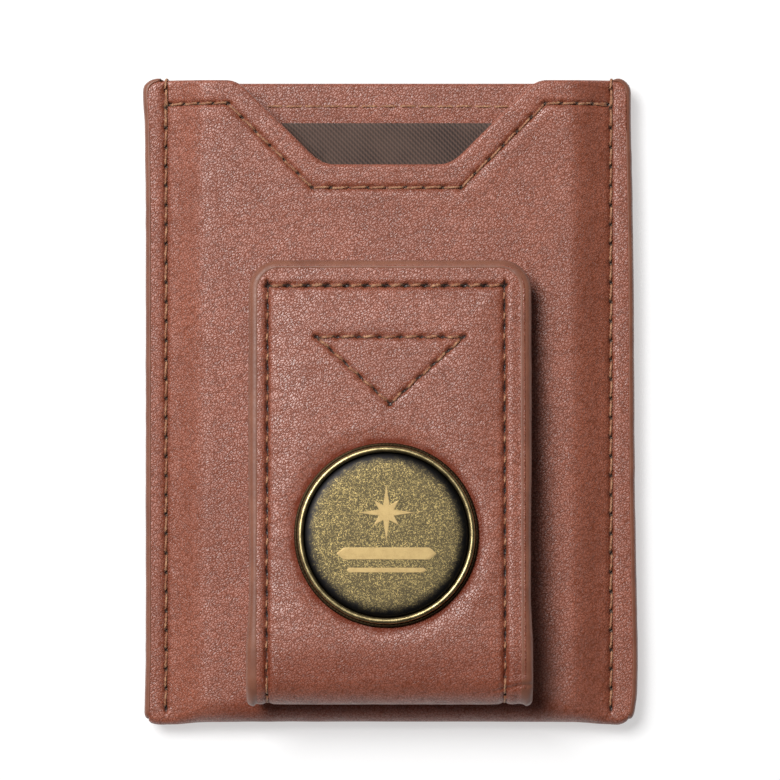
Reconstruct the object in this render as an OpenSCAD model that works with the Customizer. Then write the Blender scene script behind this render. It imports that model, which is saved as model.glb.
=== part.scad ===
// Leather card case with a magnetic money clip on its front and a brass medallion on the clip.
// The case lies on its back: X is its width, +Y points out of the card pocket's mouth, +Z is the front.
// The clip is one strap: an anchor arm sewn to the case, a fold near the bottom edge, and a flap that
// turns about the fold.  The fold is leather and has no pin.

/* [Card case] */
// Width over the coated side edges
case_w = 70; // [66:0.5:78]
// Height from the bottom fold to the mouth
case_h = 92; // [90:0.5:100]
// Thickness of the case leather
leather_t = 1.0; // [0.8:0.1:1.4]
// Thickness of the woven pocket lining
lining_t = 0.3; // [0.2:0.1:0.5]
// Free space inside the pocket, front to back
pocket_gap = 4.4; // [4.2:0.1:6]
// Half width over which the pocket keeps its full gap
pocket_half_w = 27.2; // [27.1:0.1:28]
// Distance of the left side seam from the left edge
left_seam_inset = 3.0; // [2.5:0.1:3.2]
// Distance of the right side seam from the right edge
right_seam_inset = 3.4; // [2.5:0.1:3.6]

/* [Thumb notch] */
// Half width of the notch at the top edge
notch_half_w = 21.2; // [15:0.1:23]
// Depth of the notch
notch_depth = 12; // [6:0.5:16]
// Softness of the notch's corners
notch_blend = 1.6; // [0.8:0.1:2.4]
// Width of the leather turned over at the mouth
hem_w = 6; // [5:0.5:8]
// Distance of the hem stitching from the edge
hem_inset = 3.4; // [2.5:0.1:4]

/* [Clip strap] */
// Width of the strap over its coated edges
strap_w = 39.4; // [36:0.2:40]
// Thickness of the strap's outer leather
strap_leather_t = 1.0; // [0.8:0.1:1.2]
// Thickness of the strap's inner lining leather
strap_lining_t = 0.6; // [0.5:0.1:0.8]
// Thickness of the stiffener board in the flap
board_t = 0.5; // [0.4:0.1:0.6]
// Thickness of the foam under the flap's face
foam_t = 0.4; // [0.3:0.1:0.6]
// Inner radius of the fold
fold_r = 2.5; // [2.3:0.1:3]
// Lowest point of the fold, measured up from the bottom edge of the case
fold_from_bottom = 3.5; // [3:0.1:6]
// Length of the flap from the fold to its tip
flap_len = 57.6; // [50:0.1:62]
// Angle by which the flap leans towards the case when it is shut
flap_tilt = 4.4; // [3:0.1:4.4]
// Corner radius at the flap's tip
tip_r = 4.2; // [2:0.1:6]
// Width of the coating on the cut edges
coat_t = 0.7; // [0.4:0.1:0.8]

/* [Stitching] */
// Length of one stitch
pitch = 2.8; // [2.4:0.1:3.2]
// Diameter of the thread
thread_d = 0.4; // [0.3:0.05:0.5]
// Flap seam, left line
seam_left = -17.2; // [-17.4:0.1:-15.5]
// Flap seam, right line
seam_right = 16.1; // [15:0.1:17.4]
// Distance of the flap's end seam from the tip
seam_from_tip = 2.9; // [2.6:0.1:3.2]
// Half width of the stitched triangle
triangle_half_w = 10.3; // [8:0.1:12]
// Height of the stitched triangle
triangle_h = 9.4; // [7:0.1:12]
// Distance of the triangle from the flap's tip
triangle_from_tip = 10.2; // [10:0.1:11]

/* [Magnets] */
// Length of each bar magnet
magnet_l = 26; // [20:1:28]
// Width of each bar magnet
magnet_w = 5.4; // [4:0.1:6]
// Distance of the magnets' middle from the flap's tip
magnet_from_tip = 6.9; // [6.5:0.1:7.2]

/* [Medallion] */
// Radius of the bezel's foot
bezel_foot_r = 12.9; // [12:0.1:14]
// Outer radius of the bezel's rim
bezel_r = 12.5; // [11:0.1:13.5]
// Radial thickness of the rim
rim_t = 0.8; // [0.6:0.1:1.2]
// Height of the rim above the leather
rim_h = 1.3; // [1:0.1:2]
// Thickness of the bezel's floor
floor_t = 0.4; // [0.3:0.1:0.6]
// Thickness of the inlaid disc
disc_t = 0.7; // [0.5:0.1:0.9]
// Radius of the rivet post
post_r = 1.5; // [1:0.1:2]
// Radius of the washer that the post is clinched to
washer_r = 4; // [3:0.1:5]
// Distance of the medallion from the fold's axis, along the flap
medallion_y = 19.6; // [18:0.1:24]
// Sideways place of the medallion
medallion_x = -0.5; // [-2:0.1:2]

/* [Hidden] */
$fn = 64;

tan = [0.60, 0.36, 0.29];
tan_edge = [0.62, 0.42, 0.35];
thread_brown = [0.50, 0.28, 0.15];
weave_brown = [0.22, 0.15, 0.12];
board_grey = [0.55, 0.50, 0.44];
foam_grey = [0.30, 0.30, 0.30];
nickel = [0.75, 0.75, 0.76];
old_brass = [0.52, 0.43, 0.22];

// Case: a glue line parts the two linings at the side seams, and the seams lie at half height.
glue_t = 0.05;
wall_t = leather_t + lining_t;
mid_z = wall_t + pocket_gap / 2;
seam_half_t = wall_t + glue_t;
leather_half_w = case_w / 2 - coat_t;
seam_half_w = case_w / 2 - 3.1;
fold_draw_in = 0.4;
shoulder_steps = 4;
case_fold_steps = 8;
coat_ends_short = 0.4;
foot_h = 0.3;
washer_t = 0.35;

// Strap: the arms hold a core between the two leathers, and the fold holds none.  The outer leather
// comes down to the lining over skive_len, and the core starts a little way in.
core_t = board_t + foam_t;
strap_inner_w = strap_w - 2 * coat_t;
fold_outer_r = fold_r + strap_lining_t + strap_leather_t;
arm_outer = fold_outer_r + core_t;
fold_y = -case_h / 2 + fold_from_bottom + fold_outer_r;
fold_z = 2 * mid_z + arm_outer;
anchor_short = 0.6;
anchor_len = flap_len - anchor_short;
skive_len = 6;
core_start = 0.4;
fit_gap = 0.15;

// Stitching: a stitch lies partly sunk in the leather and stops short of the next hole.
sink = thread_d / 4;
stitch_gap = 0.5;
side_seam_end = 1.2;
fold_stitches = 5;
fold_stitch_gap = 12;

// ---- helpers ----

function clamp01(t) = min(1, max(0, t));
function ease(t) = t * t * (3 - 2 * t);
// A ramp of slope 1 from t = 0, rounded over b on each side of the corner.
function soft_ramp(t, b) = t <= -b ? 0 : t >= b ? t : (t + b) * (t + b) / (4 * b);
function notch_at(x) =
    soft_ramp(notch_half_w - abs(x), notch_blend)
    - soft_ramp(notch_half_w - abs(x) - notch_depth, notch_blend);
function fullness(x) = 1 - ease(clamp01((abs(x) - pocket_half_w) / (seam_half_w - pocket_half_w)));
// Half thickness of the case at x, and the y where its bottom fold starts.
function half_t(x) = seam_half_t + (mid_z - seam_half_t) * fullness(x);
function case_fold_y(x) = -case_h / 2 + half_t(x) + fold_draw_in * fullness(x);
function mirrored(v) = concat([for (a = v) -a], [0], [for (i = [len(v) - 1:-1:0]) v[i]]);

case_columns = mirrored(concat(
    [leather_half_w],
    [for (i = [0:shoulder_steps]) seam_half_w - (seam_half_w - pocket_half_w) * i / shoulder_steps],
    [for (s = [1, 0, -1]) notch_half_w + s * notch_blend],
    [for (s = [1, 0, -1]) notch_half_w - notch_depth + s * notch_blend]
));

// A point of the folded case sheet at column x, sunk below its outer surface by depth.
function front_point(x, y, depth) = [x, y, mid_z + half_t(x) - depth];
function back_point(x, y, depth) = [x, y, mid_z - half_t(x) + depth];
function fold_point(x, a, depth) = [
    x, case_fold_y(x) - (half_t(x) - depth) * sin(a), mid_z + (half_t(x) - depth) * cos(a)
];
// Rows of one surface, from the front's mouth round the bottom fold to the back's mouth.
// Each entry of ends is [distance from the mouth, depth].
function sheet_rows(ends, depth) = concat(
    [for (e = ends) [for (x = case_columns) front_point(x, case_h / 2 - notch_at(x) - e[0], e[1])]],
    [for (i = [0:case_fold_steps])
        [for (x = case_columns) fold_point(x, 180 * i / case_fold_steps, depth)]],
    [for (k = [len(ends) - 1:-1:0])
        [for (x = case_columns) back_point(x, case_h / 2 - ends[k][0], ends[k][1])]]
);

// A closed sheet between two grids of points that have the same rows and columns.
module sheet_between(outer, inner) {
    rows = len(outer);
    cols = len(outer[0]);
    count = rows * cols;
    function at(r, c) = r * cols + c;
    function in(r, c) = count + at(r, c);
    function quad(a, b, c, d) = [[a, b, c], [a, c, d]];
    last_r = rows - 1;
    last_c = cols - 1;
    polyhedron(
        points = concat([for (r = outer) each r], [for (r = inner) each r]),
        faces = concat(
            [for (r = [0:rows - 2], c = [0:cols - 2])
                each quad(at(r, c), at(r, c + 1), at(r + 1, c + 1), at(r + 1, c))],
            [for (r = [0:rows - 2], c = [0:cols - 2])
                each quad(in(r + 1, c), in(r + 1, c + 1), in(r, c + 1), in(r, c))],
            [for (c = [0:cols - 2]) each quad(at(0, c + 1), at(0, c), in(0, c), in(0, c + 1))],
            [for (c = [0:cols - 2])
                each quad(at(last_r, c), at(last_r, c + 1), in(last_r, c + 1), in(last_r, c))],
            [for (r = [0:rows - 2]) each quad(at(r, 0), at(r + 1, 0), in(r + 1, 0), in(r, 0))],
            [for (r = [0:rows - 2])
                each quad(at(r + 1, last_c), at(r, last_c), in(r, last_c), in(r + 1, last_c))]
        )
    );
}

// One stitch along +X: a bar above, a bar below and the leg that joins them in the hole.
module stitch(length, top_z, bottom_z) {
    bar = length - stitch_gap;
    for (z = [top_z, bottom_z]) {
        translate([0, 0, z]) rotate([0, 90, 0]) cylinder(d = thread_d, h = bar, $fn = 16);
        translate([bar, 0, z]) sphere(d = thread_d, $fn = 16);
    }
    translate([0, 0, bottom_z]) cylinder(d = thread_d, h = top_z - bottom_z, $fn = 16);
}

// Stitches from point a to point b, [x, y] each, above bottom_z.  Their upper bars start at top_z
// and climb by climb, in steps, on the way to b.
module seam(a, b, top_z, bottom_z, climb = 0) {
    run = norm(b - a);
    count = max(1, round(run / pitch));
    step = run / count;
    for (i = [0:count - 1])
        translate([a[0], a[1], 0]) rotate([0, 0, atan2(b[1] - a[1], b[0] - a[0])])
            translate([i * step, 0, 0]) stitch(step, top_z + climb * (i + 0.5) / count, bottom_z);
}

// Turns a profile drawn as [y, z] into a bar of width w across X.
module across(w) {
    rotate([90, 0, 90]) translate([0, 0, -w / 2]) linear_extrude(w) children();
}

// Outline of an arm from y = 0 to y = length, with round corners at its tip.
module arm_outline(w, length, r) {
    translate([-w / 2, -1]) square([w, length - r + 1]);
    translate([-w / 2 + r, -1]) square([w - 2 * r, length + 1]);
    for (s = [-1, 1]) translate([s * (w / 2 - r), length - r]) circle(r);
}

// One layer of an arm: the [y, z] profile cut to the outline.
module arm_layer(w, length, profile) {
    intersection() {
        across(w + 2) polygon(profile);
        linear_extrude(2 * arm_outer) arm_outline(w, length, tip_r - coat_t);
    }
}

// Arms are drawn with the fold's axis on the X axis and their outer side up.
module in_flap() {
    translate([0, fold_y, fold_z]) rotate([-flap_tilt, 0, 0]) children();
}
module in_anchor() {
    translate([0, fold_y, fold_z]) mirror([0, 0, 1]) children();
}

lining_z = fold_r;
board_z = lining_z + strap_lining_t;
foam_z = board_z + board_t;
face_z = foam_z + foam_t;

// Profiles of an arm's layers as [y, z].  The core's thickness t grows with the leather's slope.
function outer_profile(length) = [
    [0, board_z], [skive_len, face_z], [length, face_z],
    [length, arm_outer], [skive_len, arm_outer], [0, fold_outer_r]
];
function core_profile(length, t) = [
    [core_start, board_z], [length, board_z], [length, board_z + t],
    [core_start + skive_len * t / core_t, board_z + t]
];
function box_profile(start, length, low, high) = [[start, low], [length, low], [length, high], [start, high]];

module magnet_block(grow) {
    translate([-magnet_l / 2 - grow, flap_len - magnet_from_tip - magnet_w / 2 - grow, 0])
        linear_extrude(2 * arm_outer) square([magnet_l + 2 * grow, magnet_w + 2 * grow]);
}
module magnet() {
    intersection() {
        magnet_block(0);
        translate([-strap_w / 2, 0, board_z]) cube([strap_w, flap_len, core_t]);
    }
}
module post_hole(r) {
    translate([medallion_x, medallion_y, 0]) cylinder(r = r, h = 2 * arm_outer);
}

// The coating wraps an arm's cut edge; its outer side is at the strap's full width.
module arm_coating(length) {
    intersection() {
        difference() {
            linear_extrude(2 * arm_outer) arm_outline(strap_w, length + coat_t, tip_r);
            translate([0, 0, -1]) linear_extrude(2 * arm_outer + 2)
                arm_outline(strap_inner_w, length, tip_r - coat_t);
        }
        across(strap_w + 2) polygon([
            [0, fold_r], [length + 1, fold_r], [length + 1, arm_outer],
            [skive_len, arm_outer], [0, fold_outer_r]
        ]);
    }
}

// A ring sector of the fold, from its inner radius r, across the width from x0 to x1.
module fold_sector(r, t, x0, x1) {
    rotate([90, 0, 90]) rotate([0, 0, 90 - flap_tilt])
        rotate_extrude(angle = 180 + flap_tilt, $fn = 96) translate([r, x0]) square([t, x1 - x0]);
}

// The flap's and the anchor's seam: two side lines from the fold and one across near the tip.  It
// reaches up to top_z where the arm is flat, and follows the leather down its slope to the fold.
module arm_seam(length, top_z) {
    end_y = length - seam_from_tip;
    low = lining_z + sink;
    for (x = [seam_left, seam_right]) {
        seam([x, end_y], [x, skive_len], top_z, low);
        seam([x, skive_len], [x, core_start], arm_outer - sink, low, -core_t * (1 - core_start / skive_len));
    }
    seam([seam_left + stitch_gap, end_y], [seam_right - stitch_gap, end_y], top_z, low);
}

// ---- card case ----

module case_leather() {
    color(tan) sheet_between(
        sheet_rows([[0, 0], [hem_w - 1, 0], [hem_w + 1, 0]], 0),
        sheet_rows([[0, wall_t], [hem_w, wall_t], [hem_w, leather_t]], leather_t)
    );
}

module pocket_lining() {
    color(weave_brown) sheet_between(
        sheet_rows([[hem_w, leather_t]], leather_t),
        sheet_rows([[hem_w, wall_t]], wall_t)
    );
}

// A bead with a round outer side along one side edge of the case; side is -1 or 1.
module side_coating(side) {
    low_y = -case_h / 2 + coat_ends_short;
    bead_r = (seam_half_t * seam_half_t + coat_t * coat_t) / (2 * coat_t);
    color(tan_edge) intersection() {
        translate([side * (case_w / 2 - bead_r), low_y, mid_z]) rotate([-90, 0, 0])
            cylinder(r = bead_r, h = case_h / 2 - low_y);
        translate([side > 0 ? leather_half_w : -case_w / 2, low_y, mid_z - seam_half_t])
            cube([coat_t, case_h / 2 - low_y, 2 * seam_half_t]);
    }
}

module side_stitching(x) {
    color(thread_brown) seam(
        [x, case_h / 2 - side_seam_end], [x, -case_h / 2 + seam_half_t + side_seam_end],
        mid_z + seam_half_t - sink, mid_z - seam_half_t + sink
    );
}

// Corner points of the front hem's stitching, parallel to the notch's edge.
hem_corner = hem_inset * tan(22.5);
hem_y = case_h / 2 - hem_inset;
hem_points = [
    [-pocket_half_w, hem_y],
    [-notch_half_w - hem_corner, hem_y],
    [-notch_half_w + notch_depth - hem_corner, hem_y - notch_depth],
    [notch_half_w - notch_depth + hem_corner, hem_y - notch_depth],
    [notch_half_w + hem_corner, hem_y],
    [pocket_half_w, hem_y]
];

module notch_hem_stitching() {
    color(thread_brown) for (i = [0:len(hem_points) - 2]) {
        a = hem_points[i];
        b = hem_points[i + 1];
        seam(a, b - (b - a) * stitch_gap / norm(b - a), 2 * mid_z - sink, 2 * mid_z - wall_t + sink);
    }
}

module back_hem_stitching() {
    color(thread_brown) seam([-pocket_half_w, hem_y], [pocket_half_w, hem_y], wall_t - sink, thread_d / 2);
}

// ---- clip: anchor arm, sewn to the front of the case ----

module anchor_leather() {
    color(tan) in_anchor() arm_layer(strap_inner_w, anchor_len, outer_profile(anchor_len));
}
module anchor_stiffener() {
    color(board_grey) in_anchor() difference() {
        arm_layer(strap_inner_w, anchor_len, core_profile(anchor_len, core_t));
        magnet_block(fit_gap);
    }
}
module anchor_magnet() {
    color(nickel) in_anchor() magnet();
}
module anchor_lining() {
    color(tan) in_anchor()
        arm_layer(strap_inner_w, anchor_len, box_profile(0, anchor_len, lining_z, board_z));
}
module anchor_edge_coating() {
    color(tan_edge) in_anchor() arm_coating(anchor_len);
}
module anchor_stitching() {
    color(thread_brown) in_anchor() arm_seam(anchor_len, arm_outer + leather_t);
}

// ---- clip: the fold between the arms, which bends ----

module fold_leather() {
    color(tan) translate([0, fold_y, fold_z])
        fold_sector(board_z, strap_leather_t, -strap_inner_w / 2, strap_inner_w / 2);
}
module fold_lining() {
    color(tan) translate([0, fold_y, fold_z])
        fold_sector(fold_r, strap_lining_t, -strap_inner_w / 2, strap_inner_w / 2);
}
module fold_edge_coating() {
    color(tan_edge) translate([0, fold_y, fold_z]) {
        fold_sector(fold_r, fold_outer_r - fold_r, -strap_w / 2, -strap_inner_w / 2);
        fold_sector(fold_r, fold_outer_r - fold_r, strap_inner_w / 2, strap_w / 2);
    }
}
// Stitches bent round the fold on both its sides, clear of the two arms.
module fold_stitching() {
    step = (180 + flap_tilt) / fold_stitches;
    low_r = fold_r + sink;
    high_r = fold_outer_r - sink;
    color(thread_brown) for (x = [seam_left, seam_right], i = [0:fold_stitches - 1])
        translate([x, fold_y, fold_z]) rotate([90, 0, 90])
            rotate([0, 0, 90 - flap_tilt + i * step + fold_stitch_gap / 2]) {
                for (r = [low_r, high_r])
                    rotate_extrude(angle = step - fold_stitch_gap, $fn = 96)
                        translate([r, 0]) circle(d = thread_d, $fn = 16);
                translate([low_r, 0, 0]) rotate([0, 90, 0])
                    cylinder(d = thread_d, h = high_r - low_r, $fn = 16);
            }
}

// ---- clip: flap ----

module flap_leather() {
    color(tan) in_flap() difference() {
        arm_layer(strap_inner_w, flap_len, outer_profile(flap_len));
        post_hole(post_r + fit_gap);
    }
}
module flap_foam() {
    foam_start = skive_len + core_start;
    color(foam_grey) in_flap() difference() {
        arm_layer(strap_inner_w, flap_len, box_profile(foam_start, flap_len, foam_z, face_z));
        magnet_block(fit_gap);
        post_hole(post_r + fit_gap);
    }
}
module flap_stiffener() {
    color(board_grey) in_flap() difference() {
        arm_layer(strap_inner_w, flap_len, core_profile(flap_len, board_t));
        magnet_block(fit_gap);
        post_hole(washer_r + fit_gap);
    }
}
module flap_magnet() {
    color(nickel) in_flap() magnet();
}
module flap_lining() {
    color(tan) in_flap() arm_layer(strap_inner_w, flap_len, box_profile(0, flap_len, lining_z, board_z));
}
module flap_edge_coating() {
    color(tan_edge) in_flap() arm_coating(flap_len);
}
module flap_stitching() {
    color(thread_brown) in_flap() arm_seam(flap_len, arm_outer - sink);
}

// A triangle of stitching, point down, just below the magnet.
module triangle_stitching() {
    top_y = flap_len - triangle_from_tip;
    corners = [[-triangle_half_w, top_y], [triangle_half_w, top_y], [0, top_y - triangle_h]];
    color(thread_brown) in_flap() for (i = [0:2]) {
        a = corners[i];
        b = corners[(i + 1) % 3];
        inset = (b - a) * stitch_gap / norm(b - a);
        seam(a + inset, b - inset, arm_outer - sink, lining_z + sink);
    }
}

// ---- medallion ----

module in_medallion() {
    in_flap() translate([medallion_x, medallion_y, arm_outer]) children();
}
module medallion_bezel() {
    color(old_brass) in_medallion() {
        rotate_extrude($fn = 128) {
            square([bezel_r, floor_t]);
            square([bezel_foot_r, foot_h]);
            translate([bezel_r - rim_t, 0]) square([rim_t, rim_h - rim_t / 2]);
            translate([bezel_r - rim_t / 2, rim_h - rim_t / 2]) circle(d = rim_t, $fn = 32);
        }
        translate([0, 0, -(arm_outer - board_z)]) cylinder(r = post_r, h = arm_outer - board_z + floor_t / 2);
    }
}
module medallion_disc() {
    chamfer = 0.25;
    disc_r = bezel_r - rim_t - fit_gap;
    color(old_brass) in_medallion() translate([0, 0, floor_t]) rotate_extrude($fn = 128) polygon([
        [0, 0], [disc_r, 0], [disc_r, disc_t - chamfer], [disc_r - 2 * chamfer, disc_t], [0, disc_t]
    ]);
}
module medallion_washer() {
    color(old_brass) in_medallion() translate([0, 0, board_z - arm_outer]) difference() {
        cylinder(r = washer_r, h = washer_t);
        translate([0, 0, -1]) cylinder(r = post_r, h = washer_t + 2);
    }
}

// ---- what is drawn ----

case_leather();
pocket_lining();
side_coating(-1);  // left_edge_coating
side_coating(1);  // right_edge_coating
side_stitching(-case_w / 2 + left_seam_inset);  // left_side_stitching
side_stitching(case_w / 2 - right_seam_inset);  // right_side_stitching
notch_hem_stitching();
back_hem_stitching();
anchor_leather();
anchor_stiffener();
anchor_magnet();
anchor_lining();
anchor_edge_coating();
anchor_stitching();
fold_leather();
fold_lining();
fold_edge_coating();
fold_stitching();
flap_leather();
flap_foam();
flap_stiffener();
flap_magnet();
flap_lining();
flap_edge_coating();
flap_stitching();
triangle_stitching();
medallion_bezel();
medallion_disc();
medallion_washer();
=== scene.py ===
"""Looks of a leather card case with a magnetic clip strap and a brass medallion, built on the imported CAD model.

Sizes inside this file are in millimetres and become metres when a mesh is made.  X is the case's width,
+Y points out of the pocket's mouth and +Z is its front, as in the CAD model.
"""

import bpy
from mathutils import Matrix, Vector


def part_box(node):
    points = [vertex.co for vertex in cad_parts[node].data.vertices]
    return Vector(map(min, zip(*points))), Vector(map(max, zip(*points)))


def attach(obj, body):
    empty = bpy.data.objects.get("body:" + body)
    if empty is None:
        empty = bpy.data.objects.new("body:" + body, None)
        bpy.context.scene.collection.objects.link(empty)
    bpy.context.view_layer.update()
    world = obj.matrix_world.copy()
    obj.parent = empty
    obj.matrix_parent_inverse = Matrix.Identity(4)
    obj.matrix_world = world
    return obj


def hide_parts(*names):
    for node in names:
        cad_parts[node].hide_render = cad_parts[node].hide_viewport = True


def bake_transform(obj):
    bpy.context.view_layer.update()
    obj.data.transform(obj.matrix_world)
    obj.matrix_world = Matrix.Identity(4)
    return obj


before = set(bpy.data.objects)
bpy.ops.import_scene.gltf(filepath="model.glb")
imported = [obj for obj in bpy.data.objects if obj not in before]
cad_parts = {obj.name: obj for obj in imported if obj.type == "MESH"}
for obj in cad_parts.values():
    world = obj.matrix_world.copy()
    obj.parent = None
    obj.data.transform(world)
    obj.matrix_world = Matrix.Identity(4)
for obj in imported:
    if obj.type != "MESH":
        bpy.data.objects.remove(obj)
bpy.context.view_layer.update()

import math

import bpy
import numpy as np

MM = 0.001


def cad(node):
    """Lowest and highest corner of a CAD node, in mm."""
    low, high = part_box(node)
    return np.array(low) / MM, np.array(high) / MM


# ---- sizes of the CAD model ----

case_low, case_high = cad("case_leather")
LEATHER_X = float(case_high[0])
CASE_TOP, CASE_BOTTOM = float(case_high[1]), float(case_low[1])
MID_Z = float(case_high[2]) / 2
EDGE_X = float(cad("right_edge_coating")[1][0])
COAT = EDGE_X - LEATHER_X
LEFT_SEAM = float(np.mean([c[0] for c in cad("left_side_stitching")]))
RIGHT_SEAM = float(np.mean([c[0] for c in cad("right_side_stitching")]))
LEATHER_T, LINING_T = 1.0, 0.3
WALL_T = LEATHER_T + LINING_T
SEAM_HALF_T = WALL_T + 0.05  # half of the case's thickness at its side seams
FULL_HALF_W, SEAM_HALF_W = 25.6, 31.9  # the case is full up to the first and flat from the second
FOLD_DRAW_IN = 0.25  # how far the middle of the bottom fold is drawn up
NOTCH_HALF_W, NOTCH_DEPTH, NOTCH_BLEND, NOTCH_X = 21.2, 12.0, 1.6, -0.5
HEM_W, HEM_INSET = 6.0, 3.4

fold_low, fold_high = cad("fold_leather")
FOLD_R = round(float(fold_high[2] - fold_low[2]) / 2, 2)  # outside of the strap at the fold
FOLD_Z = round(float(fold_high[2] + fold_low[2]) / 2, 2)
FOLD_Y = round(float(fold_low[1]), 2) + FOLD_R
STRAP_X = float(cad("flap_leather")[1][0])
THREAD_R, THREAD_SIDES, THREAD_TWIST = 0.2, 8, 1.25  # the thread turns once in its twist
left_thread, right_thread = (float(c[0]) for c in cad("fold_stitching"))
STRAP_LEFT, STRAP_RIGHT = left_thread + THREAD_R, right_thread - THREAD_R  # the strap's seam lines
LINING_R, BOARD_R, FACE_R, ARM_R = 2.5, 3.1, 4.0, 5.0  # layers of an arm, outwards from the fold's axis
FLAP_LEN, ANCHOR_LEN = 57.6, 57.0
SKIVE, RISE = 6.0, 4.6  # lengths over which an arm's leather thickens
TIP_R = 3.5
SEAM_FROM_TIP = 2.9
TILT = math.radians(4.4)
FOLD_SWEEP = math.pi + TILT
MEDAL_X, MEDAL_Y, MEDAL_R = -0.5, 19.6, 12.9

# ---- numbers over a surface ----

random = np.random.default_rng(11)
CELLS = 64  # the noise repeats after so many units
LATTICE = random.uniform(-1, 1, (8, CELLS, CELLS))


def ease(t):
    t = np.clip(t, 0, 1)
    return t * t * (3 - 2 * t)


def bell(d, width):
    return np.exp(-((d / width) ** 2))


def noise(u, v, layer=0):
    """Smooth noise from -1 to 1 that changes over about one unit of u and v."""
    u, v = np.broadcast_arrays(np.asarray(u, float), np.asarray(v, float))
    i, j = np.floor(u).astype(int), np.floor(v).astype(int)
    a, b = ease(u - i), ease(v - j)
    table = LATTICE[layer]

    def at(p, q):
        return table[(i + p) % CELLS, (j + q) % CELLS]

    return (at(0, 0) * (1 - a) + at(1, 0) * a) * (1 - b) + (at(0, 1) * (1 - a) + at(1, 1) * a) * b


def lines(*stops):
    """Grid lines from stops of (place, spacing up to the next place); the last stop's spacing isn't used."""
    out = []
    for (a, gap), (b, _) in zip(stops, stops[1:]):
        out.append(np.linspace(a, b, max(1, round(abs(b - a) / gap)), endpoint=False))
    return np.concatenate(out + [[stops[-1][0]]])


GROOVE_SHADE = 0.6  # how dark the painted shade is along a seam's groove


class Seam:
    """A straight run of stitches on a surface with flat coordinates u, v.

    Across it the leather is drawn down by groove over width.  Each needle hole is depth deep and pit wide, turned
    by slant, and fade is the way over which the groove ends.
    """

    def __init__(self, a, b, count, groove=0.22, width=0.5, pit=(0.5, 0.2), depth=0.5, slant=0.0, fade=0.7):
        self.a, self.b, self.count = np.array(a, float), np.array(b, float), count
        self.length = float(np.linalg.norm(self.b - self.a))
        self.along = (self.b - self.a) / self.length
        self.across = np.array([-self.along[1], self.along[0]])
        self.step = self.length / count
        self.groove, self.width, self.pit, self.depth = groove, width, pit, depth
        self.slant, self.fade = slant, fade

    def marks(self, u, v):
        """(how deep the leather is drawn down, how much of a needle hole is here from 0 to 1)."""
        t = (u - self.a[0]) * self.along[0] + (v - self.a[1]) * self.along[1]
        w = (u - self.a[0]) * self.across[0] + (v - self.a[1]) * self.across[1]
        near = ease((t + self.fade) / self.fade) * ease((self.length + self.fade - t) / self.fade)
        k = np.clip(np.round(t / self.step), 0, self.count)
        dt = t - k * self.step
        c, s = math.cos(self.slant), math.sin(self.slant)
        p, q = dt * c + w * s, -dt * s + w * c
        hole = np.exp(-(((p / self.pit[0]) ** 2 + (q / self.pit[1]) ** 2) ** 1.4))
        return self.groove * bell(w, self.width) * near, hole

    def under(self):
        """The same run on the other side, where it leaves no marks."""
        return Seam(self.a, self.b, self.count)


def deepest_groove(u, v, seams):
    groove = 0.0
    for seam in seams:
        groove = np.maximum(groove, seam.marks(u, v)[0])
    return groove


def stitched(u, v, seams):
    """(height, shade) that a list of seams gives a surface; the shade is painted shade, 1 in a needle hole and below 0
    along a seam's groove.
    """
    height, dark, painted_shade = 0.0, 0.0, 0.0
    for seam in seams:
        drawn, hole = seam.marks(u, v)
        height = np.minimum(height, -drawn - seam.depth * hole)
        dark, painted_shade = np.maximum(dark, hole), np.maximum(painted_shade, drawn / seam.groove)
    return height, dark - GROOVE_SHADE * painted_shade * (1 - dark)


# ---- meshes ----


def add_piece(name, points, faces, material, flat_from=None, shade=None):
    """A mesh object.  Faces from number flat_from on are flat, and shade is a number per point for the material."""
    mesh = bpy.data.meshes.new(name)
    mesh.from_pydata((np.asarray(points) * MM).tolist(), [], faces)
    smooth = np.ones(len(mesh.polygons), bool)
    if flat_from is not None:
        smooth[flat_from:] = False
    mesh.polygons.foreach_set("use_smooth", smooth)
    mesh.calc_loop_triangles()
    tris = np.zeros(len(mesh.loop_triangles) * 3, int)
    mesh.loop_triangles.foreach_get("vertices", tris)
    a, b, c = (np.asarray(points)[tris.reshape(-1, 3)[:, i]] for i in range(3))
    if np.sum(a * np.cross(b, c)) < 0:
        mesh.flip_normals()
    if shade is not None:
        mesh.attributes.new("shade", "FLOAT", "POINT").data.foreach_set("value", np.asarray(shade, np.float32).ravel())
    mesh.materials.append(material)
    piece = bpy.data.objects.new(name, mesh)
    bpy.context.scene.collection.objects.link(piece)
    return piece


def quads(index, flip=False):
    a, b, c, d = index[:-1, :-1], index[:-1, 1:], index[1:, 1:], index[1:, :-1]
    q = np.stack([a, d, c, b] if flip else [a, b, c, d], -1).reshape(-1, 4)
    return q.tolist()


def every(count, step):
    """Row or column numbers to keep, the last among them."""
    keep = list(range(0, count, step))
    if keep[-1] != count - 1:
        keep.append(count - 1)
    return keep


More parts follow.
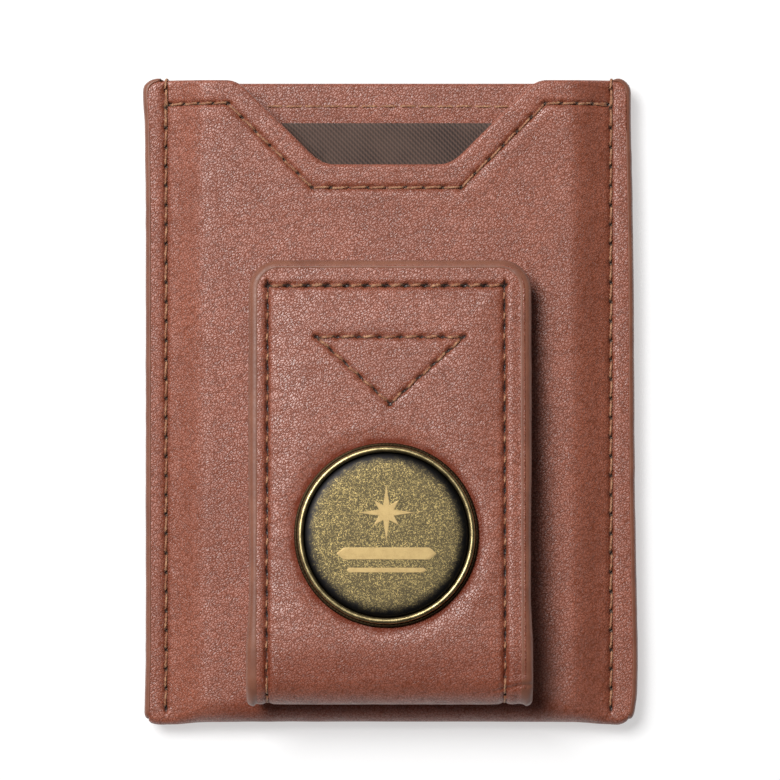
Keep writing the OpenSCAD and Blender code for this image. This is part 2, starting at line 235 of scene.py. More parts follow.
def closed_sheet(name, outer, inner, material, row_step=4, col_step=4, shade=None, keep_rows=None):
    """A sheet with thickness between two grids of points; the inner side keeps only some of its rows and columns."""
    rows, cols = outer.shape[:2]
    rk = keep_rows if keep_rows is not None else every(rows, row_step)
    ck = every(cols, col_step)
    o = np.arange(rows * cols).reshape(rows, cols)
    i = rows * cols + np.arange(len(rk) * len(ck)).reshape(len(rk), len(ck))
    faces = quads(o) + quads(i, flip=True)
    flat_from = len(faces)

    def strip(outer_line, inner_line, keys, ascending):
        for k in range(len(keys) - 1):
            run = list(outer_line[keys[k] : keys[k + 1] + 1])
            pair = [inner_line[k], inner_line[k + 1]]
            faces.append([int(n) for n in (run + pair[::-1] if ascending else run[::-1] + pair)])

    strip(o[0], i[0], ck, False)
    strip(o[-1], i[-1], ck, True)
    strip(o[:, 0], i[:, 0], rk, True)
    strip(o[:, -1], i[:, -1], rk, False)
    points = np.concatenate([outer.reshape(-1, 3), inner[np.ix_(rk, ck)].reshape(-1, 3)])
    if shade is not None:
        shade = np.concatenate([np.broadcast_to(shade, (rows, cols)).ravel(), np.zeros(len(rk) * len(ck))])
    return add_piece(name, points, faces, material, flat_from, shade)


def bar_faces(rings, sides, start=0):
    """Faces of a closed bar whose rings of points follow each other, and the two ends."""
    r, k = np.arange(rings - 1)[:, None], np.arange(sides)[None, :]
    k2 = (k + 1) % sides
    q = np.stack([r * sides + k, r * sides + k2, (r + 1) * sides + k2, (r + 1) * sides + k], -1) + start
    ends = [[start + n for n in range(sides)][::-1], [start + (rings - 1) * sides + n for n in range(sides)]]
    return q.reshape(-1, 4).tolist(), ends


def bars(name, loops, material):
    """One object from several closed bars, each rings x sides x 3 numbers, or 4 with a shade for the material."""
    faces, caps, points, start = [], [], [], 0
    for loop in loops:
        rings, sides, width = loop.shape
        f, ends = bar_faces(rings, sides, start)
        faces += f
        caps += ends
        points.append(loop.reshape(-1, width))
        start += rings * sides
    points = np.concatenate(points)
    shade = points[:, 3] if points.shape[1] == 4 else None
    return add_piece(name, points[:, :3], faces + caps, material, len(faces), shade)


def thread_bar(path, side, radius=THREAD_R, phase=0.0, shade=0.0):
    """A two-ply twisted thread along a path.  side is a vector square to the path."""
    path = np.asarray(path, float)
    along = np.gradient(path, axis=0)
    along /= np.linalg.norm(along, axis=1)[:, None]
    side = side - along * np.sum(along * side, 1)[:, None]
    side = side / np.linalg.norm(side, axis=1)[:, None]
    up = np.cross(along, side)
    gone = np.concatenate([[0], np.cumsum(np.linalg.norm(np.diff(path, axis=0), axis=1))])
    angle = np.linspace(0, 2 * math.pi, THREAD_SIDES, endpoint=False)[None, :]
    spin = (2 * math.pi * gone / THREAD_TWIST + phase)[:, None]
    r = radius * (0.80 + 0.26 * np.cos(2 * (angle - spin)))
    points = (
        path[:, None, :]
        + (r * np.cos(angle))[..., None] * side[:, None, :]
        + (r * np.sin(angle))[..., None] * up[:, None, :]
    )
    shade = np.broadcast_to(np.reshape(shade, (-1, 1, 1)), points.shape[:2] + (1,))
    return np.concatenate([points, shade], -1)


def stitch_bars(place, seam, height, out=1.0, lift=0.1, dive=0.55, bend=5.0, lean=0.12, radius=THREAD_R):
    """Thread bars for a seam.  place(u, v, h) gives a point, height(u, v) the surface, out the outward side.

    A stitch lies lift above the surface and dives into it at its ends, the more suddenly the higher bend is.
    It leans across the seam, from one side at its start to the other at its end.
    """
    made = []
    t = np.linspace(0, 1, 15)
    t = t - 0.06 * np.sin(2 * math.pi * t)  # the rings crowd at the ends
    for n in range(seam.count):
        wander = 0.05 * LATTICE[7, n % CELLS, seam.count % CELLS]
        off = lean * (1 - 2 * t) + wander * np.sin(math.pi * t)
        at = seam.a + seam.along * ((n + 0.04 + 0.92 * t) * seam.step)[:, None] + seam.across * off[:, None]
        sunk = dive * np.abs(2 * t - 1) ** bend
        h = height(at[:, 0], at[:, 1]) + out * (lift - sunk)
        path = place(at[:, 0], at[:, 1], h)
        beside = at + seam.across * 0.01
        side = place(beside[:, 0], beside[:, 1], h) - path
        side /= np.linalg.norm(side, axis=1)[:, None]
        # the shade passed on paints the thread dark where it sinks, a painted shade
        made.append(thread_bar(path, side, radius=radius, phase=0.7 * n, shade=ease((sunk - 0.13) / 0.17)))
    return made


def stack(*parts):
    return np.stack(np.broadcast_arrays(*parts), -1)


# ---- materials ----


class Nodes:
    """A material's nodes, made in reading order."""

    def __init__(self, name):
        self.material = bpy.data.materials.new(name)
        self.material.use_nodes = True
        self.tree = self.material.node_tree
        self.shader = self.tree.nodes["Principled BSDF"]
        self.object = self.add("ShaderNodeTexCoord").outputs["Object"]

    def add(self, kind, inputs=None, **settings):
        node = self.tree.nodes.new(kind)
        for key, value in settings.items():
            setattr(node, key, value)
        for key, value in (inputs or {}).items():
            self.feed(node.inputs[key], value)
        return node

    def feed(self, socket, value):
        if isinstance(value, bpy.types.NodeSocket):
            self.tree.links.new(value, socket)
        elif value is not None:
            socket.default_value = value

    def noise(self, cell, detail=2.0, rough=0.5, vector=None, stretch=None):
        """Noise whose features are about cell mm wide."""
        inputs = {"Vector": self.stretched(vector, stretch), "Scale": 1 / (cell * MM)}
        return self.add("ShaderNodeTexNoise", {**inputs, "Detail": detail, "Roughness": rough}).outputs["Fac"]

    def stretched(self, vector, stretch):
        """Coordinates turned and scaled by stretch, a pair of an angle and three scales."""
        vector = vector or self.object
        if stretch is None:
            return vector
        turn, scale = stretch
        node = self.add(
            "ShaderNodeMapping", {"Vector": vector, "Rotation": (0, 0, turn), "Scale": [1 / s for s in scale]},
            vector_type="TEXTURE",
        )
        return node.outputs["Vector"]

    def cell_edges(self, cell, vector, stretch):
        """Distance from the edges of cells about cell mm wide, in cells."""
        inputs = {"Vector": self.stretched(vector, stretch), "Scale": 1 / (cell * MM)}
        return self.add("ShaderNodeTexVoronoi", inputs, feature="DISTANCE_TO_EDGE").outputs["Distance"]

    def warped(self, cell, amount):
        """Object coordinates shaken by amount mm over cell mm."""
        shake = self.add("ShaderNodeTexNoise", {"Vector": self.object, "Scale": 1 / (cell * MM), "Detail": 1.0})
        centred = self.vector("SUBTRACT", {0: shake.outputs["Color"], 1: (0.5, 0.5, 0.5)})
        scaled = self.vector("SCALE", {0: centred, "Scale": 2 * amount * MM})
        return self.vector("ADD", {0: self.object, 1: scaled})

    def vector(self, operation, inputs):
        return self.add("ShaderNodeVectorMath", inputs, operation=operation).outputs[0]

    def span(self, value, low, high, to_low=0.0, to_high=1.0):
        node = self.add(
            "ShaderNodeMapRange",
            {"Value": value, "From Min": low, "From Max": high, "To Min": to_low, "To Max": to_high},
            interpolation_type="SMOOTHSTEP",
        )
        return node.outputs["Result"]

    def math(self, operation, a, b=None):
        return self.add("ShaderNodeMath", {0: a, 1: b}, operation=operation).outputs[0]

    def times(self, a, b):
        return self.math("MULTIPLY", a, b)

    def plus(self, a, b):
        return self.math("ADD", a, b)

    def mix(self, factor, a, b):
        return self.add("ShaderNodeMix", {0: factor, 6: a, 7: b}, data_type="RGBA").outputs[2]

    def shade(self):
        return self.add("ShaderNodeAttribute", attribute_name="shade").outputs["Fac"]

    def bump(self, height, distance):
        """distance is the height of a full step, in mm."""
        return self.add("ShaderNodeBump", {"Height": height, "Distance": distance * MM}).outputs["Normal"]

    def finish(self, colour, roughness, normal=None, **values):
        for key, value in (("Base Color", colour), ("Roughness", roughness), ("Normal", normal)):
            self.feed(self.shader.inputs[key], value)
        for key, value in values.items():
            self.shader.inputs[key.replace("_", " ")].default_value = value
        return self.material


def srgb(r, g, b):
    """A colour given as 0..255 display values."""
    def linear(c):
        c /= 255
        return c / 12.92 if c < 0.04045 else ((c + 0.055) / 1.055) ** 2.4
    return (linear(r), linear(g), linear(b), 1.0)


def leather(name, light, dark, cell=0.38, depth=0.047, rough=0.45, sheen=0.03):
    """Grained leather.  The shade attribute is 1 in a needle hole, painted nearly black as a painted shade, and below 0
    where painted shade darkens the leather and lowers its gloss.
    """
    n = Nodes(name)
    where = n.warped(0.8, 0.28)
    edges = n.cell_edges(cell, where, stretch=(0.75, (0.78, 1.3, 1.0)))
    pebble = n.plus(n.times(n.span(edges, 0.0, 0.16), 0.68), n.times(n.span(edges, 0.0, 0.5), 0.32))
    vein = n.noise(1.5, 3.0, 0.62, where, stretch=(0.45, (0.55, 1.35, 1.0)))
    crease = n.span(n.math("ABSOLUTE", n.math("SUBTRACT", vein, 0.5)), 0.0, 0.045)
    pores = n.noise(0.16, 2.0, 0.6)
    cloud = n.span(n.noise(9.0, 3.0, 0.55), 0.32, 0.68)
    height = n.plus(n.times(pebble, 0.75), n.times(crease, 0.28))
    height = n.plus(height, n.times(pores, 0.18))
    body = n.mix(cloud, dark, light)
    lined = n.times(n.span(edges, 0.0, 0.17, 0.24, 1.0), n.span(crease, 0.0, 1.0, 0.45, 1.0))
    creased = n.mix(lined, (0.150, 0.034, 0.013, 1), body)
    # painted shade: where the shade attribute is below 0 the colour is mixed towards dark red-brown and the gloss is
    # lowered
    shade_share = n.span(n.shade(), -1.0, 0.0, 0.8, 0.0)
    painted_shade = n.mix(shade_share, creased, (0.145, 0.026, 0.011, 1))
    gloss = n.times(n.span(shade_share, 0.0, 0.9, 1.0, 0.1), n.span(edges, 0.0, 0.20, 0.35, 1.15))
    n.feed(n.shader.inputs["Specular IOR Level"], gloss)
    # needle holes are painted nearly black, a painted shade
    holes = n.mix(n.span(n.shade(), 0.1, 0.85, 0.0, 0.95), painted_shade, (0.008, 0.003, 0.002, 1))
    polish = n.span(n.noise(2.2, 2.0), 0.3, 0.7, rough - 0.04, rough + 0.06)
    return n.finish(
        holes, polish, n.bump(height, depth),
        Sheen_Weight=sheen, Sheen_Roughness=0.4, Sheen_Tint=(1.0, 0.84, 0.82, 1),
    )


def edge_paint(name, light, dark):
    n = Nodes(name)
    cloud = n.span(n.noise(3.0, 3.0), 0.3, 0.7)
    height = n.plus(n.noise(0.9, 2.0), n.times(n.noise(0.15, 2.0), 0.15))
    return n.finish(
        n.mix(cloud, dark, light), n.span(n.noise(0.5, 2.0), 0.3, 0.7, 0.40, 0.52), n.bump(height, 0.02),
        Specular_IOR_Level=0.4, Sheen_Weight=0.1, Sheen_Tint=(1.0, 0.85, 0.82, 1),
    )


def thread_material(name):
    n = Nodes(name)
    fibre = n.noise(0.09, 3.0, 0.6)
    patch = n.span(n.noise(0.7, 2.0), 0.35, 0.65)
    colour = n.mix(n.span(fibre, 0.35, 0.65), srgb(96, 50, 32), n.mix(patch, srgb(176, 112, 78), srgb(220, 168, 126)))
    # where a stitch sinks into its hole the thread is painted dark, a painted shade
    sunk = n.mix(n.span(n.shade(), 0.0, 1.0, 0.0, 0.9), colour, (0.010, 0.004, 0.003, 1))
    return n.finish(
        sunk, 0.55, n.bump(fibre, 0.03), Sheen_Weight=0.3, Sheen_Tint=(1.0, 0.85, 0.7, 1), Specular_IOR_Level=0.35
    )


def twill(name):
    """Diagonal ribs of a fine woven lining."""
    n = Nodes(name)
    split = n.add("ShaderNodeSeparateXYZ", {0: n.object})
    rib, yarn = 0.75, 0.38  # pitches in mm
    along = n.plus(split.outputs["X"], split.outputs["Y"])
    wave = n.math("SINE", n.times(along, 2 * math.pi / (rib * MM)))
    cross = n.math("SINE", n.times(split.outputs["X"], 2 * math.pi / (yarn * MM)))
    weave = n.plus(wave, n.times(cross, 0.45))
    colour = n.mix(n.span(weave, -1.2, 1.2), srgb(46, 33, 28), srgb(92, 70, 60))
    worn = n.mix(n.span(n.noise(6.0, 3.0), 0.35, 0.7, 0.0, 0.25), colour, srgb(118, 94, 82))
    return n.finish(worn, 0.75, n.bump(weave, 0.04), Sheen_Weight=0.25, Sheen_Tint=(1.0, 0.9, 0.85, 1))


def brass(name, bright, patina_and_shadow, rough, worn=0.5):
    n = Nodes(name)
    stain = n.span(n.noise(1.1, 4.0, 0.65), 0.35, 0.72)
    fine = n.noise(0.16, 3.0, 0.7)
    grime_and_shade = n.times(n.times(stain, n.span(fine, 0.3, 0.7, 0.5, 1.0)), worn)
    return n.finish(
        n.mix(n.math("MAXIMUM", grime_and_shade, n.shade()), bright, patina_and_shadow),
        n.span(fine, 0.3, 0.7, rough - 0.06, rough + 0.1), n.bump(fine, 0.006), Metallic=1.0,
    )


def plain(name, light, dark, cell, depth, rough, **values):
    n = Nodes(name)
    grain = n.noise(cell, 4.0, 0.6)
    return n.finish(n.mix(n.span(grain, 0.3, 0.7), dark, light), rough, n.bump(grain, depth), **values)


def medallion_face(name, centre, clear=10.0, bevel=11.9):
    """Dark metal with fine brushed gold flecks inside the clear radius, and a smooth dark bevel outside."""
    n = Nodes(name)
    flecks = None
    for k, (turn, cell) in enumerate(((0.3, 0.072), (1.1, 0.066), (1.9, 0.075), (2.7, 0.068))):
        streak = n.noise(cell, 1.0, 0.5, stretch=(turn, (1.0, 0.18, 1.0)))
        flecks = streak if flecks is None else n.math("MAXIMUM", flecks, streak)
    offset = n.vector("SUBTRACT", {0: n.object, 1: centre})
    radius = n.add("ShaderNodeVectorMath", {0: offset}, operation="LENGTH").outputs["Value"]
    speck = n.span(flecks, 0.635, 0.715)
    patch = n.span(n.noise(1.6, 3.0), 0.3, 0.7, 0.55, 1.0)
    ragged = n.plus(radius, n.times(n.noise(0.8, 3.0), 1.6 * MM))
    inside = n.span(ragged, clear * MM, bevel * MM, 1, 0)
    gold = n.times(n.times(speck, patch), inside)
    base = n.mix(inside, srgb(36, 35, 36), n.mix(patch, srgb(60, 55, 44), srgb(92, 82, 60)))
    return n.finish(
        n.mix(gold, base, srgb(244, 216, 140)), n.span(gold, 0, 1, 0.46, 0.30), n.bump(flecks, 0.008), Metallic=1.0
    )


LEATHER = leather("leather", srgb(165, 92, 68), srgb(152, 83, 60))
LINING_LEATHER = leather("lining_leather", srgb(146, 82, 64), srgb(132, 71, 55), cell=0.38, depth=0.040, rough=0.47)
PAINT = edge_paint("edge_paint", srgb(136, 86, 66), srgb(122, 74, 56))
THREAD = thread_material("thread")
TWILL = twill("woven_lining")
BOARD = plain("stiffener_board", srgb(150, 138, 120), srgb(122, 110, 94), 0.3, 0.03, 0.85)
FOAM = plain("foam", srgb(86, 86, 86), srgb(58, 58, 58), 0.12, 0.05, 0.9)
MAGNET = plain("magnet", srgb(205, 205, 208), srgb(176, 176, 182), 0.2, 0.004, 0.28, Metallic=1.0)
BRASS = brass("antique_brass", srgb(178, 160, 116), srgb(44, 34, 22), 0.37, 0.7)
ENGRAVED = brass("engraved_brass", srgb(180, 156, 108), srgb(152, 128, 86), 0.50, 0.6)

# ---- places on the strap ----


def on_flap(x, y, h):
    """A point of the flap: y along it from the fold's axis, h outwards from the axis."""
    c, s = math.cos(TILT), math.sin(TILT)
    return stack(x, FOLD_Y + y * c + h * s, FOLD_Z - y * s + h * c)


def on_anchor(x, y, h):
    return stack(x, FOLD_Y + y, FOLD_Z - h)


def on_fold(x, turn, h):
    """turn is the angle round the fold, from the anchor's start."""
    return stack(x, FOLD_Y - h * np.sin(turn), FOLD_Z - h * np.cos(turn))


CUT = FOLD_SWEEP / 2  # the fold is two pieces that meet here
HALF_FOLD = FOLD_R * CUT
FOLD_LEN = 2 * HALF_FOLD
HALVES = ((False, "lower"), (True, "upper"))


def fold_turn(s):
    """The fold's angle at s mm before the flap's start, along the outside."""
    return FOLD_SWEEP + s / FOLD_R


FLAP_SEAM_END = FLAP_LEN - SEAM_FROM_TIP
ANCHOR_SEAM_END = ANCHOR_LEN - SEAM_FROM_TIP
TRIANGLE_X, TRIANGLE_Y, TRIANGLE_H = 10.3, FLAP_LEN - 10.2, 9.4
TRIANGLE = [(-TRIANGLE_X, TRIANGLE_Y), (TRIANGLE_X, TRIANGLE_Y), (0.0, TRIANGLE_Y - TRIANGLE_H)]
SIDE_PIT, TOP_PIT = (0.95, 0.22), (0.62, 0.32)

side_seams = [
    Seam((x, FLAP_SEAM_END), (x, 0), 19, pit=SIDE_PIT, depth=0.55, slant=s, groove=0.24)
    for x, s in ((STRAP_LEFT, 0.06), (STRAP_RIGHT, -0.06))
]
top_seam = Seam((STRAP_LEFT, FLAP_SEAM_END), (STRAP_RIGHT, FLAP_SEAM_END), 12, pit=TOP_PIT, slant=0.42, depth=0.55)
triangle_seams = [Seam(TRIANGLE[0], TRIANGLE[1], 7, pit=(0.52, 0.29), slant=0.25, groove=0.18)] + [
    Seam(TRIANGLE[k], TRIANGLE[(k + 1) % 3], 5, pit=(0.58, 0.27), groove=0.18) for k in (1, 2)
]
fold_seams = [Seam((x, 0), (x, -FOLD_LEN), 4, depth=0.4) for x in (STRAP_LEFT, STRAP_RIGHT)]
strap_seams = side_seams + [top_seam] + triangle_seams + fold_seams
anchor_seams = [
    Seam((x, 0), (x, ANCHOR_SEAM_END), 19, pit=SIDE_PIT, groove=0.15) for x in (STRAP_LEFT, STRAP_RIGHT)
] + [Seam((STRAP_LEFT, ANCHOR_SEAM_END), (STRAP_RIGHT, ANCHOR_SEAM_END), 12, pit=TOP_PIT, groove=0.15)]
START_RELIEF = 0.35  # share of the relief where the anchor starts


def relief_share(s):
    return START_RELIEF + (1 - START_RELIEF) * ease((s + FOLD_LEN) / 4)


def flap_rise(s):
    """Height of the outer side over the fold's axis, without relief: it grows from the fold's middle to the flap."""
    return FOLD_R + (ARM_R - FOLD_R) * ease((s + RISE) / (2.1 * RISE))


ANCHOR_RIM = 0.12  # how much thinner the anchor is at its edge


def anchor_rise(y):
    return FOLD_R + (ARM_R - FOLD_R) * ease(y / SKIVE)


def stitch_pucker(t, inside, layer):
    """The padding stands up beside each hole and is drawn in beside each thread.  t counts the stitches."""
    phase = t + 0.25 * noise(t * 0.35, inside / 3, layer)
    lobes = 0.035 * np.cos(2 * math.pi * phase) * np.exp(-inside / 3.2) * ease(inside)
    from_hole = (phase + 0.5) % 1 - 0.5
    away = from_hole + 0.5 * np.sign(-from_hole)
    folds = -0.05 * bell(away + 0.05 * inside, 0.055) * np.exp(-inside / 1.4) * ease(inside / 0.4)
    return (lobes + folds) * (inside > 0)


def strap_form(x, s):
    """Relief of the strap's outer side without its seams: a padded field inside a thinner rim."""
    from_left, from_right, from_top = x - STRAP_LEFT, STRAP_RIGHT - x, FLAP_SEAM_END - s
    inside = np.minimum(np.minimum(from_left, from_right), from_top)
    outside, inside = np.maximum(-inside, 0), np.maximum(inside, 0)
    full = ease((s + 2) / 9)  # the padding starts at the fold
    padding = 0.26 * ease(inside / 5.5) + 0.08 * (1 - np.exp(-inside / 1.2))
    field = 0.10 * (1 - np.exp(-inside / 0.9)) + full * padding
    rim = 0.10 * (1 - np.exp(-outside / 0.45)) - 0.10 * ease((outside - 0.9) / 1.2)
    height = -0.16 + field + rim
    from_medal = np.hypot(x - MEDAL_X, s - MEDAL_Y)
    pressed = ease((from_medal - MEDAL_R + 0.2) / 3.0)
    height = height * pressed - 0.10 * (1 - pressed)
    t = from_top / side_seams[0].step
    puckers = stitch_pucker(t, from_left, 1) + stitch_pucker(t, from_right, 2)
    height = height + puckers * full + 0.7 * stitch_pucker((x - STRAP_LEFT) / top_seam.step, from_top, 3)
    near_seam = np.exp(-inside / 2.6) * (inside > 0)
    wave = noise(s / 0.85 + 0.55 * x, x / 3.2, 1) * 0.6 + noise(s / 0.42 + 0.9 * x, x / 1.9, 2) * 0.4
    height = height + 0.022 * near_seam * wave
    height = height + 0.05 * full * noise(x / 8, s / 8, 4) + 0.015 * noise(x / 2.6, s / 2.6, 5)
    past = -from_right  # a wrinkle crosses the right seam at the fold
    crease = bell(s + 1.9 - 0.25 * past, 0.28) * ease((past + 2.2) / 1.6)
    ridge = bell(s + 1.2 - 0.3 * past, 0.35) * ease((past + 0.6) / 0.8)
    return height - 0.16 * crease + 0.10 * ridge


def strap_relief(x, s):
    height, dark = stitched(x, s, strap_seams)
    return strap_form(x, s) + height, dark


def strap_surface(x, s):
    """Height of the strap's outer side under a stitch, measured from the fold's axis."""
    return flap_rise(s) + strap_form(x, s) - deepest_groove(x, s, strap_seams)


def strap_outer(x, s):
    """A point of the strap's outer side: s is the way along the flap, and below 0 round the fold."""
    x, s = np.broadcast_arrays(np.asarray(x, float), np.asarray(s, float))
    h = flap_rise(s) + strap_relief(x, s)[0] * relief_share(s)
    flap, fold = on_flap(x, s, h), on_fold(x, fold_turn(s), h)
    return np.where((s > 0)[..., None], flap, fold)


def fold_shade(s):
    """How much painted shade darkens the leather where it turns into the fold."""
    return 0.42 * bell(s - 0.6, 3.4)


NEAR = 0.02  # step of the slopes below


def set_normals(piece, runs):
    """Gives runs of vertices, each (first, normals), fixed normals, so that the pieces meet without a line."""
    fixed = np.zeros((len(piece.data.vertices), 3))  # a zero keeps the vertex's own normal
    for first, normals in runs:
        fixed[first : first + len(normals)] = normals / np.linalg.norm(normals, axis=1)[:, None]
    piece.data.normals_split_custom_set_from_vertices(fixed.tolist())


def strap_normals(x, s):
    across = strap_outer(x + NEAR, s) - strap_outer(x - NEAR, s)
    return np.cross(across, strap_outer(x, s + NEAR) - strap_outer(x, s - NEAR))


def round_corners(x, y, length):
    """Bends the corner blocks of a grid into round corners at the arm's tip."""
    side, top = STRAP_X - TIP_R, length - TIP_R
    u = np.clip((np.abs(x) - side) / TIP_R, 0, None)
    v = np.clip((y - top) / TIP_R, 0, None)
    x2 = np.sign(x) * np.where(u > 0, side + TIP_R * u * np.sqrt(1 - v * v / 2), np.abs(x))
    return x2, np.where(v > 0, top + TIP_R * v * np.sqrt(1 - u * u / 2), y)


def strap_columns(gap):
    """Grid lines across the strap: gap apart, and closer beside its seams."""
    reach, close = 0.65, 0.13
    return lines(
        (-STRAP_X, gap), (STRAP_LEFT - reach, close), (STRAP_LEFT + reach, gap),
        (STRAP_RIGHT - reach, close), (STRAP_RIGHT + reach, gap), (STRAP_X, 0),
    )


def label(piece, slot, nodes):
    if nodes:
        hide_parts(*nodes)


def ride(piece, body, slot, *nodes):
    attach(piece, body)
    label(piece, slot, nodes)
    return piece


def bend(piece, upper, slot, radius, *nodes):
    """Half of the fold: its placement is baked into its mesh and the CAD nodes that it stands for are hidden."""
    ends = (CUT, FOLD_SWEEP) if upper else (0.0, CUT)
    start, end = (tuple(on_fold(0.0, turn, radius).ravel() * MM) for turn in ends)
    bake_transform(piece)
    label(piece, slot, nodes)


# ---- flap leather ----

FINE = 0.2
x, y = np.meshgrid(
    strap_columns(FINE),
    lines((0, FINE), (FLAP_SEAM_END - 0.7, 0.13), (FLAP_SEAM_END + 0.7, FINE), (FLAP_LEN, 0)),
)
x, y = round_corners(x, y, FLAP_LEN)
relief, dark = strap_relief(x, y)
outer = on_flap(x, y, flap_rise(y) + relief)
inner = on_flap(x, y, BOARD_R + (FACE_R - BOARD_R) * np.clip(y / SKIVE, 0, 1))
by_bezel = np.hypot(x - MEDAL_X, y - MEDAL_Y) - MEDAL_R
grime_and_shade = 0.9 * ease(1 - by_bezel / 1.5) * (1 + 0.3 * noise(x / 1.5, y / 1.5, 2))  # painted shade round the medallion
dark = dark - grime_and_shade - fold_shade(y)
flap_leather = closed_sheet("flap_leather_face", outer, inner, LEATHER, 8, 8, dark)
set_normals(flap_leather, [(0, strap_normals(strap_columns(FINE), 0.0))])
ride(flap_leather, "clip_flap", "leather", "flap_leather")

# ---- fold leather, in two halves ----

for upper, half in HALVES:
    low, high = (-HALF_FOLD, 0) if upper else (-FOLD_LEN, -HALF_FOLD)
    x, s = np.meshgrid(strap_columns(FINE), lines((low, 0.16), (high, 0)))
    dark = strap_relief(x, s)[1] - fold_shade(s)
    inner = on_fold(x, fold_turn(s), BOARD_R)
    piece = closed_sheet("fold_leather_" + half, strap_outer(x, s), inner, LEATHER, 4, 8, dark)
    last = (len(s) - 1) * len(s[0])
    set_normals(piece, [(v, strap_normals(x[0], at)) for v, at in ((0, low), (last, high)) if at > -FOLD_LEN])
    bend(piece, upper, "leather", BOARD_R, "fold_leather")

# ---- anchor leather and both arms' linings ----

x, y = np.meshgrid(strap_columns(0.6), lines((0, 0.6), (ANCHOR_LEN, 0)))
x, y = round_corners(x, y, ANCHOR_LEN)
edge = ease((STRAP_X - np.abs(x)) / 1.2)
start_relief = strap_relief(x, -FOLD_LEN)[0] * START_RELIEF * ease(1 - y / 3)
outer = on_anchor(x, y, anchor_rise(y) - ANCHOR_RIM * (1 - edge) * ease(y / 3) + start_relief)
inner = on_anchor(x, y, BOARD_R + (FACE_R - BOARD_R) * np.clip(y / SKIVE, 0, 1))
ride(closed_sheet("anchor_leather_back", outer, inner, LEATHER, 4, 4), "card_case", "leather", "anchor_leather")


LINING_GROOVE = 0.12


def lining_seams(end):
    rows = [Seam((x, 0), (x, end), 19, groove=LINING_GROOVE, depth=0.3) for x in (STRAP_LEFT, STRAP_RIGHT)]
    return rows + [Seam((STRAP_LEFT, end), (STRAP_RIGHT, end), 12, pit=(0.42, 0.2), groove=LINING_GROOVE, depth=0.3)]


def lining_form(x, s, layer):
    edge = ease((STRAP_X - np.abs(x)) / 1.5)
    return -0.10 * (1 - edge) + 0.03 * noise(x / 6, s / 6, layer) * edge


def arm_lining(name, place, length, seams, layer, body, node):
    gap, end = 0.32, length - SEAM_FROM_TIP
    x, y = np.meshgrid(strap_columns(gap), lines((0, gap), (end - 0.6, 0.15), (end + 0.6, gap), (length, 0)))
    x, y = round_corners(x, y, length)
    height, dark = stitched(x, y, seams)
    relief = height + lining_form(x, y, layer) * ease(y / 0.8)
    piece = closed_sheet(name, place(x, y, LINING_R - relief), place(x, y, BOARD_R), LINING_LEATHER, 6, 6, dark)
    return ride(piece, body, "lining_leather", node)


flap_lining_seams, anchor_lining_seams = lining_seams(FLAP_SEAM_END), lining_seams(ANCHOR_SEAM_END)
arm_lining("flap_lining_face", on_flap, FLAP_LEN, flap_lining_seams, 4, "clip_flap", "flap_lining")
arm_lining("anchor_lining_face", on_anchor, ANCHOR_LEN, anchor_lining_seams, 5, "card_case", "anchor_lining")

for upper, half in HALVES:
    turns = (CUT, FOLD_SWEEP) if upper else (0.0, CUT)
    x, turn = np.meshgrid(strap_columns(0.5), lines((turns[0], 0.07), (turns[1], 0)))
    ends = ease(turn / 0.4) * ease((FOLD_SWEEP - turn) / 0.4)
    wrinkle = 0.05 * noise(x / 3, turn * 5, 2) + 0.035 * np.cos(turn * 16 + 0.4 * noise(x / 4, turn, 3))
    dip = LINING_GROOVE * (bell(x - STRAP_LEFT, 0.5) + bell(x - STRAP_RIGHT, 0.5))
    outer = on_fold(x, turn, LINING_R + dip + ends * wrinkle)
    piece = closed_sheet("fold_lining_" + half, outer, on_fold(x, turn, BOARD_R), LINING_LEATHER, 3, 6)
    bend(piece, upper, "lining_leather", LINING_R, "fold_lining")

# ---- painted edges of the strap ----

LIP_LEFT, LIP_RIGHT, LIP_TOP = 0.42, 0.68, 0.46  # how far the paint covers the leather


def paint_ring(low, high, lip, reach, step):
    """(outwards, height) points round a painted edge: a half round from low to high, with a lip over the leather."""
    middle, half = (low + high) / 2, (high - low) / 2
    angles = np.radians(np.linspace(-78, 78, 13))
    bead = np.stack([
        -0.2 + (reach + 0.2) * np.cos(angles) ** 0.85, middle + half * np.sign(angles) * np.abs(np.sin(angles)) ** 0.95
    ], 1)
    under = [(-0.34, low + 0.10), (-0.28, low - 0.03), (-0.05, low - 0.05)]
    over = [
        (-lip + 0.30, high + 0.012), (-lip + 0.14, high + step), (-lip + 0.03, high + step - 0.015),
        (-lip - 0.05, high - 0.06), (-lip - 0.06, high - 0.4), (-0.36, low + 0.4),
    ]
    return np.concatenate([under, bead, over])


def paint_reach(y, left):
    """How far the paint stands outside the leather: more towards the tip, and most in the ears beside the fold."""
    ears = (0.42 if left else 0.30) * ease((12 - y) / 9) * ease((y + FOLD_LEN) / 6)
    return 0.72 + 0.20 * ease((y - 12) / 24) + ears


def arm_edge(length):
    """Points, outward directions and lip widths along an arm's edge, from its right side round the tip."""
    side, end = STRAP_X - TIP_R, length - TIP_R
    straight = lines((0, 0.5), (end, 0))
    turn = np.linspace(0, 1, 13)

    def corner(sign, t, nx, ny, lip, next_lip):
        return sign * side + TIP_R * nx, end + TIP_R * ny, nx, ny, lip + (next_lip - lip) * t

    path = [(STRAP_X, v, 1.0, 0.0, LIP_RIGHT) for v in straight]
    path += [corner(1, t, math.cos(t * math.pi / 2), math.sin(t * math.pi / 2), LIP_RIGHT, LIP_TOP) for t in turn[1:]]
    path += [(v, length, 0.0, 1.0, LIP_TOP) for v in lines((side, 0.5), (-side, 0))[1:-1]]
    path += [corner(-1, t, -math.sin(t * math.pi / 2), math.cos(t * math.pi / 2), LIP_TOP, LIP_LEFT) for t in turn]
    return np.array(path + [(-STRAP_X, v, -1.0, 0.0, LIP_LEFT) for v in straight[::-1][1:]])


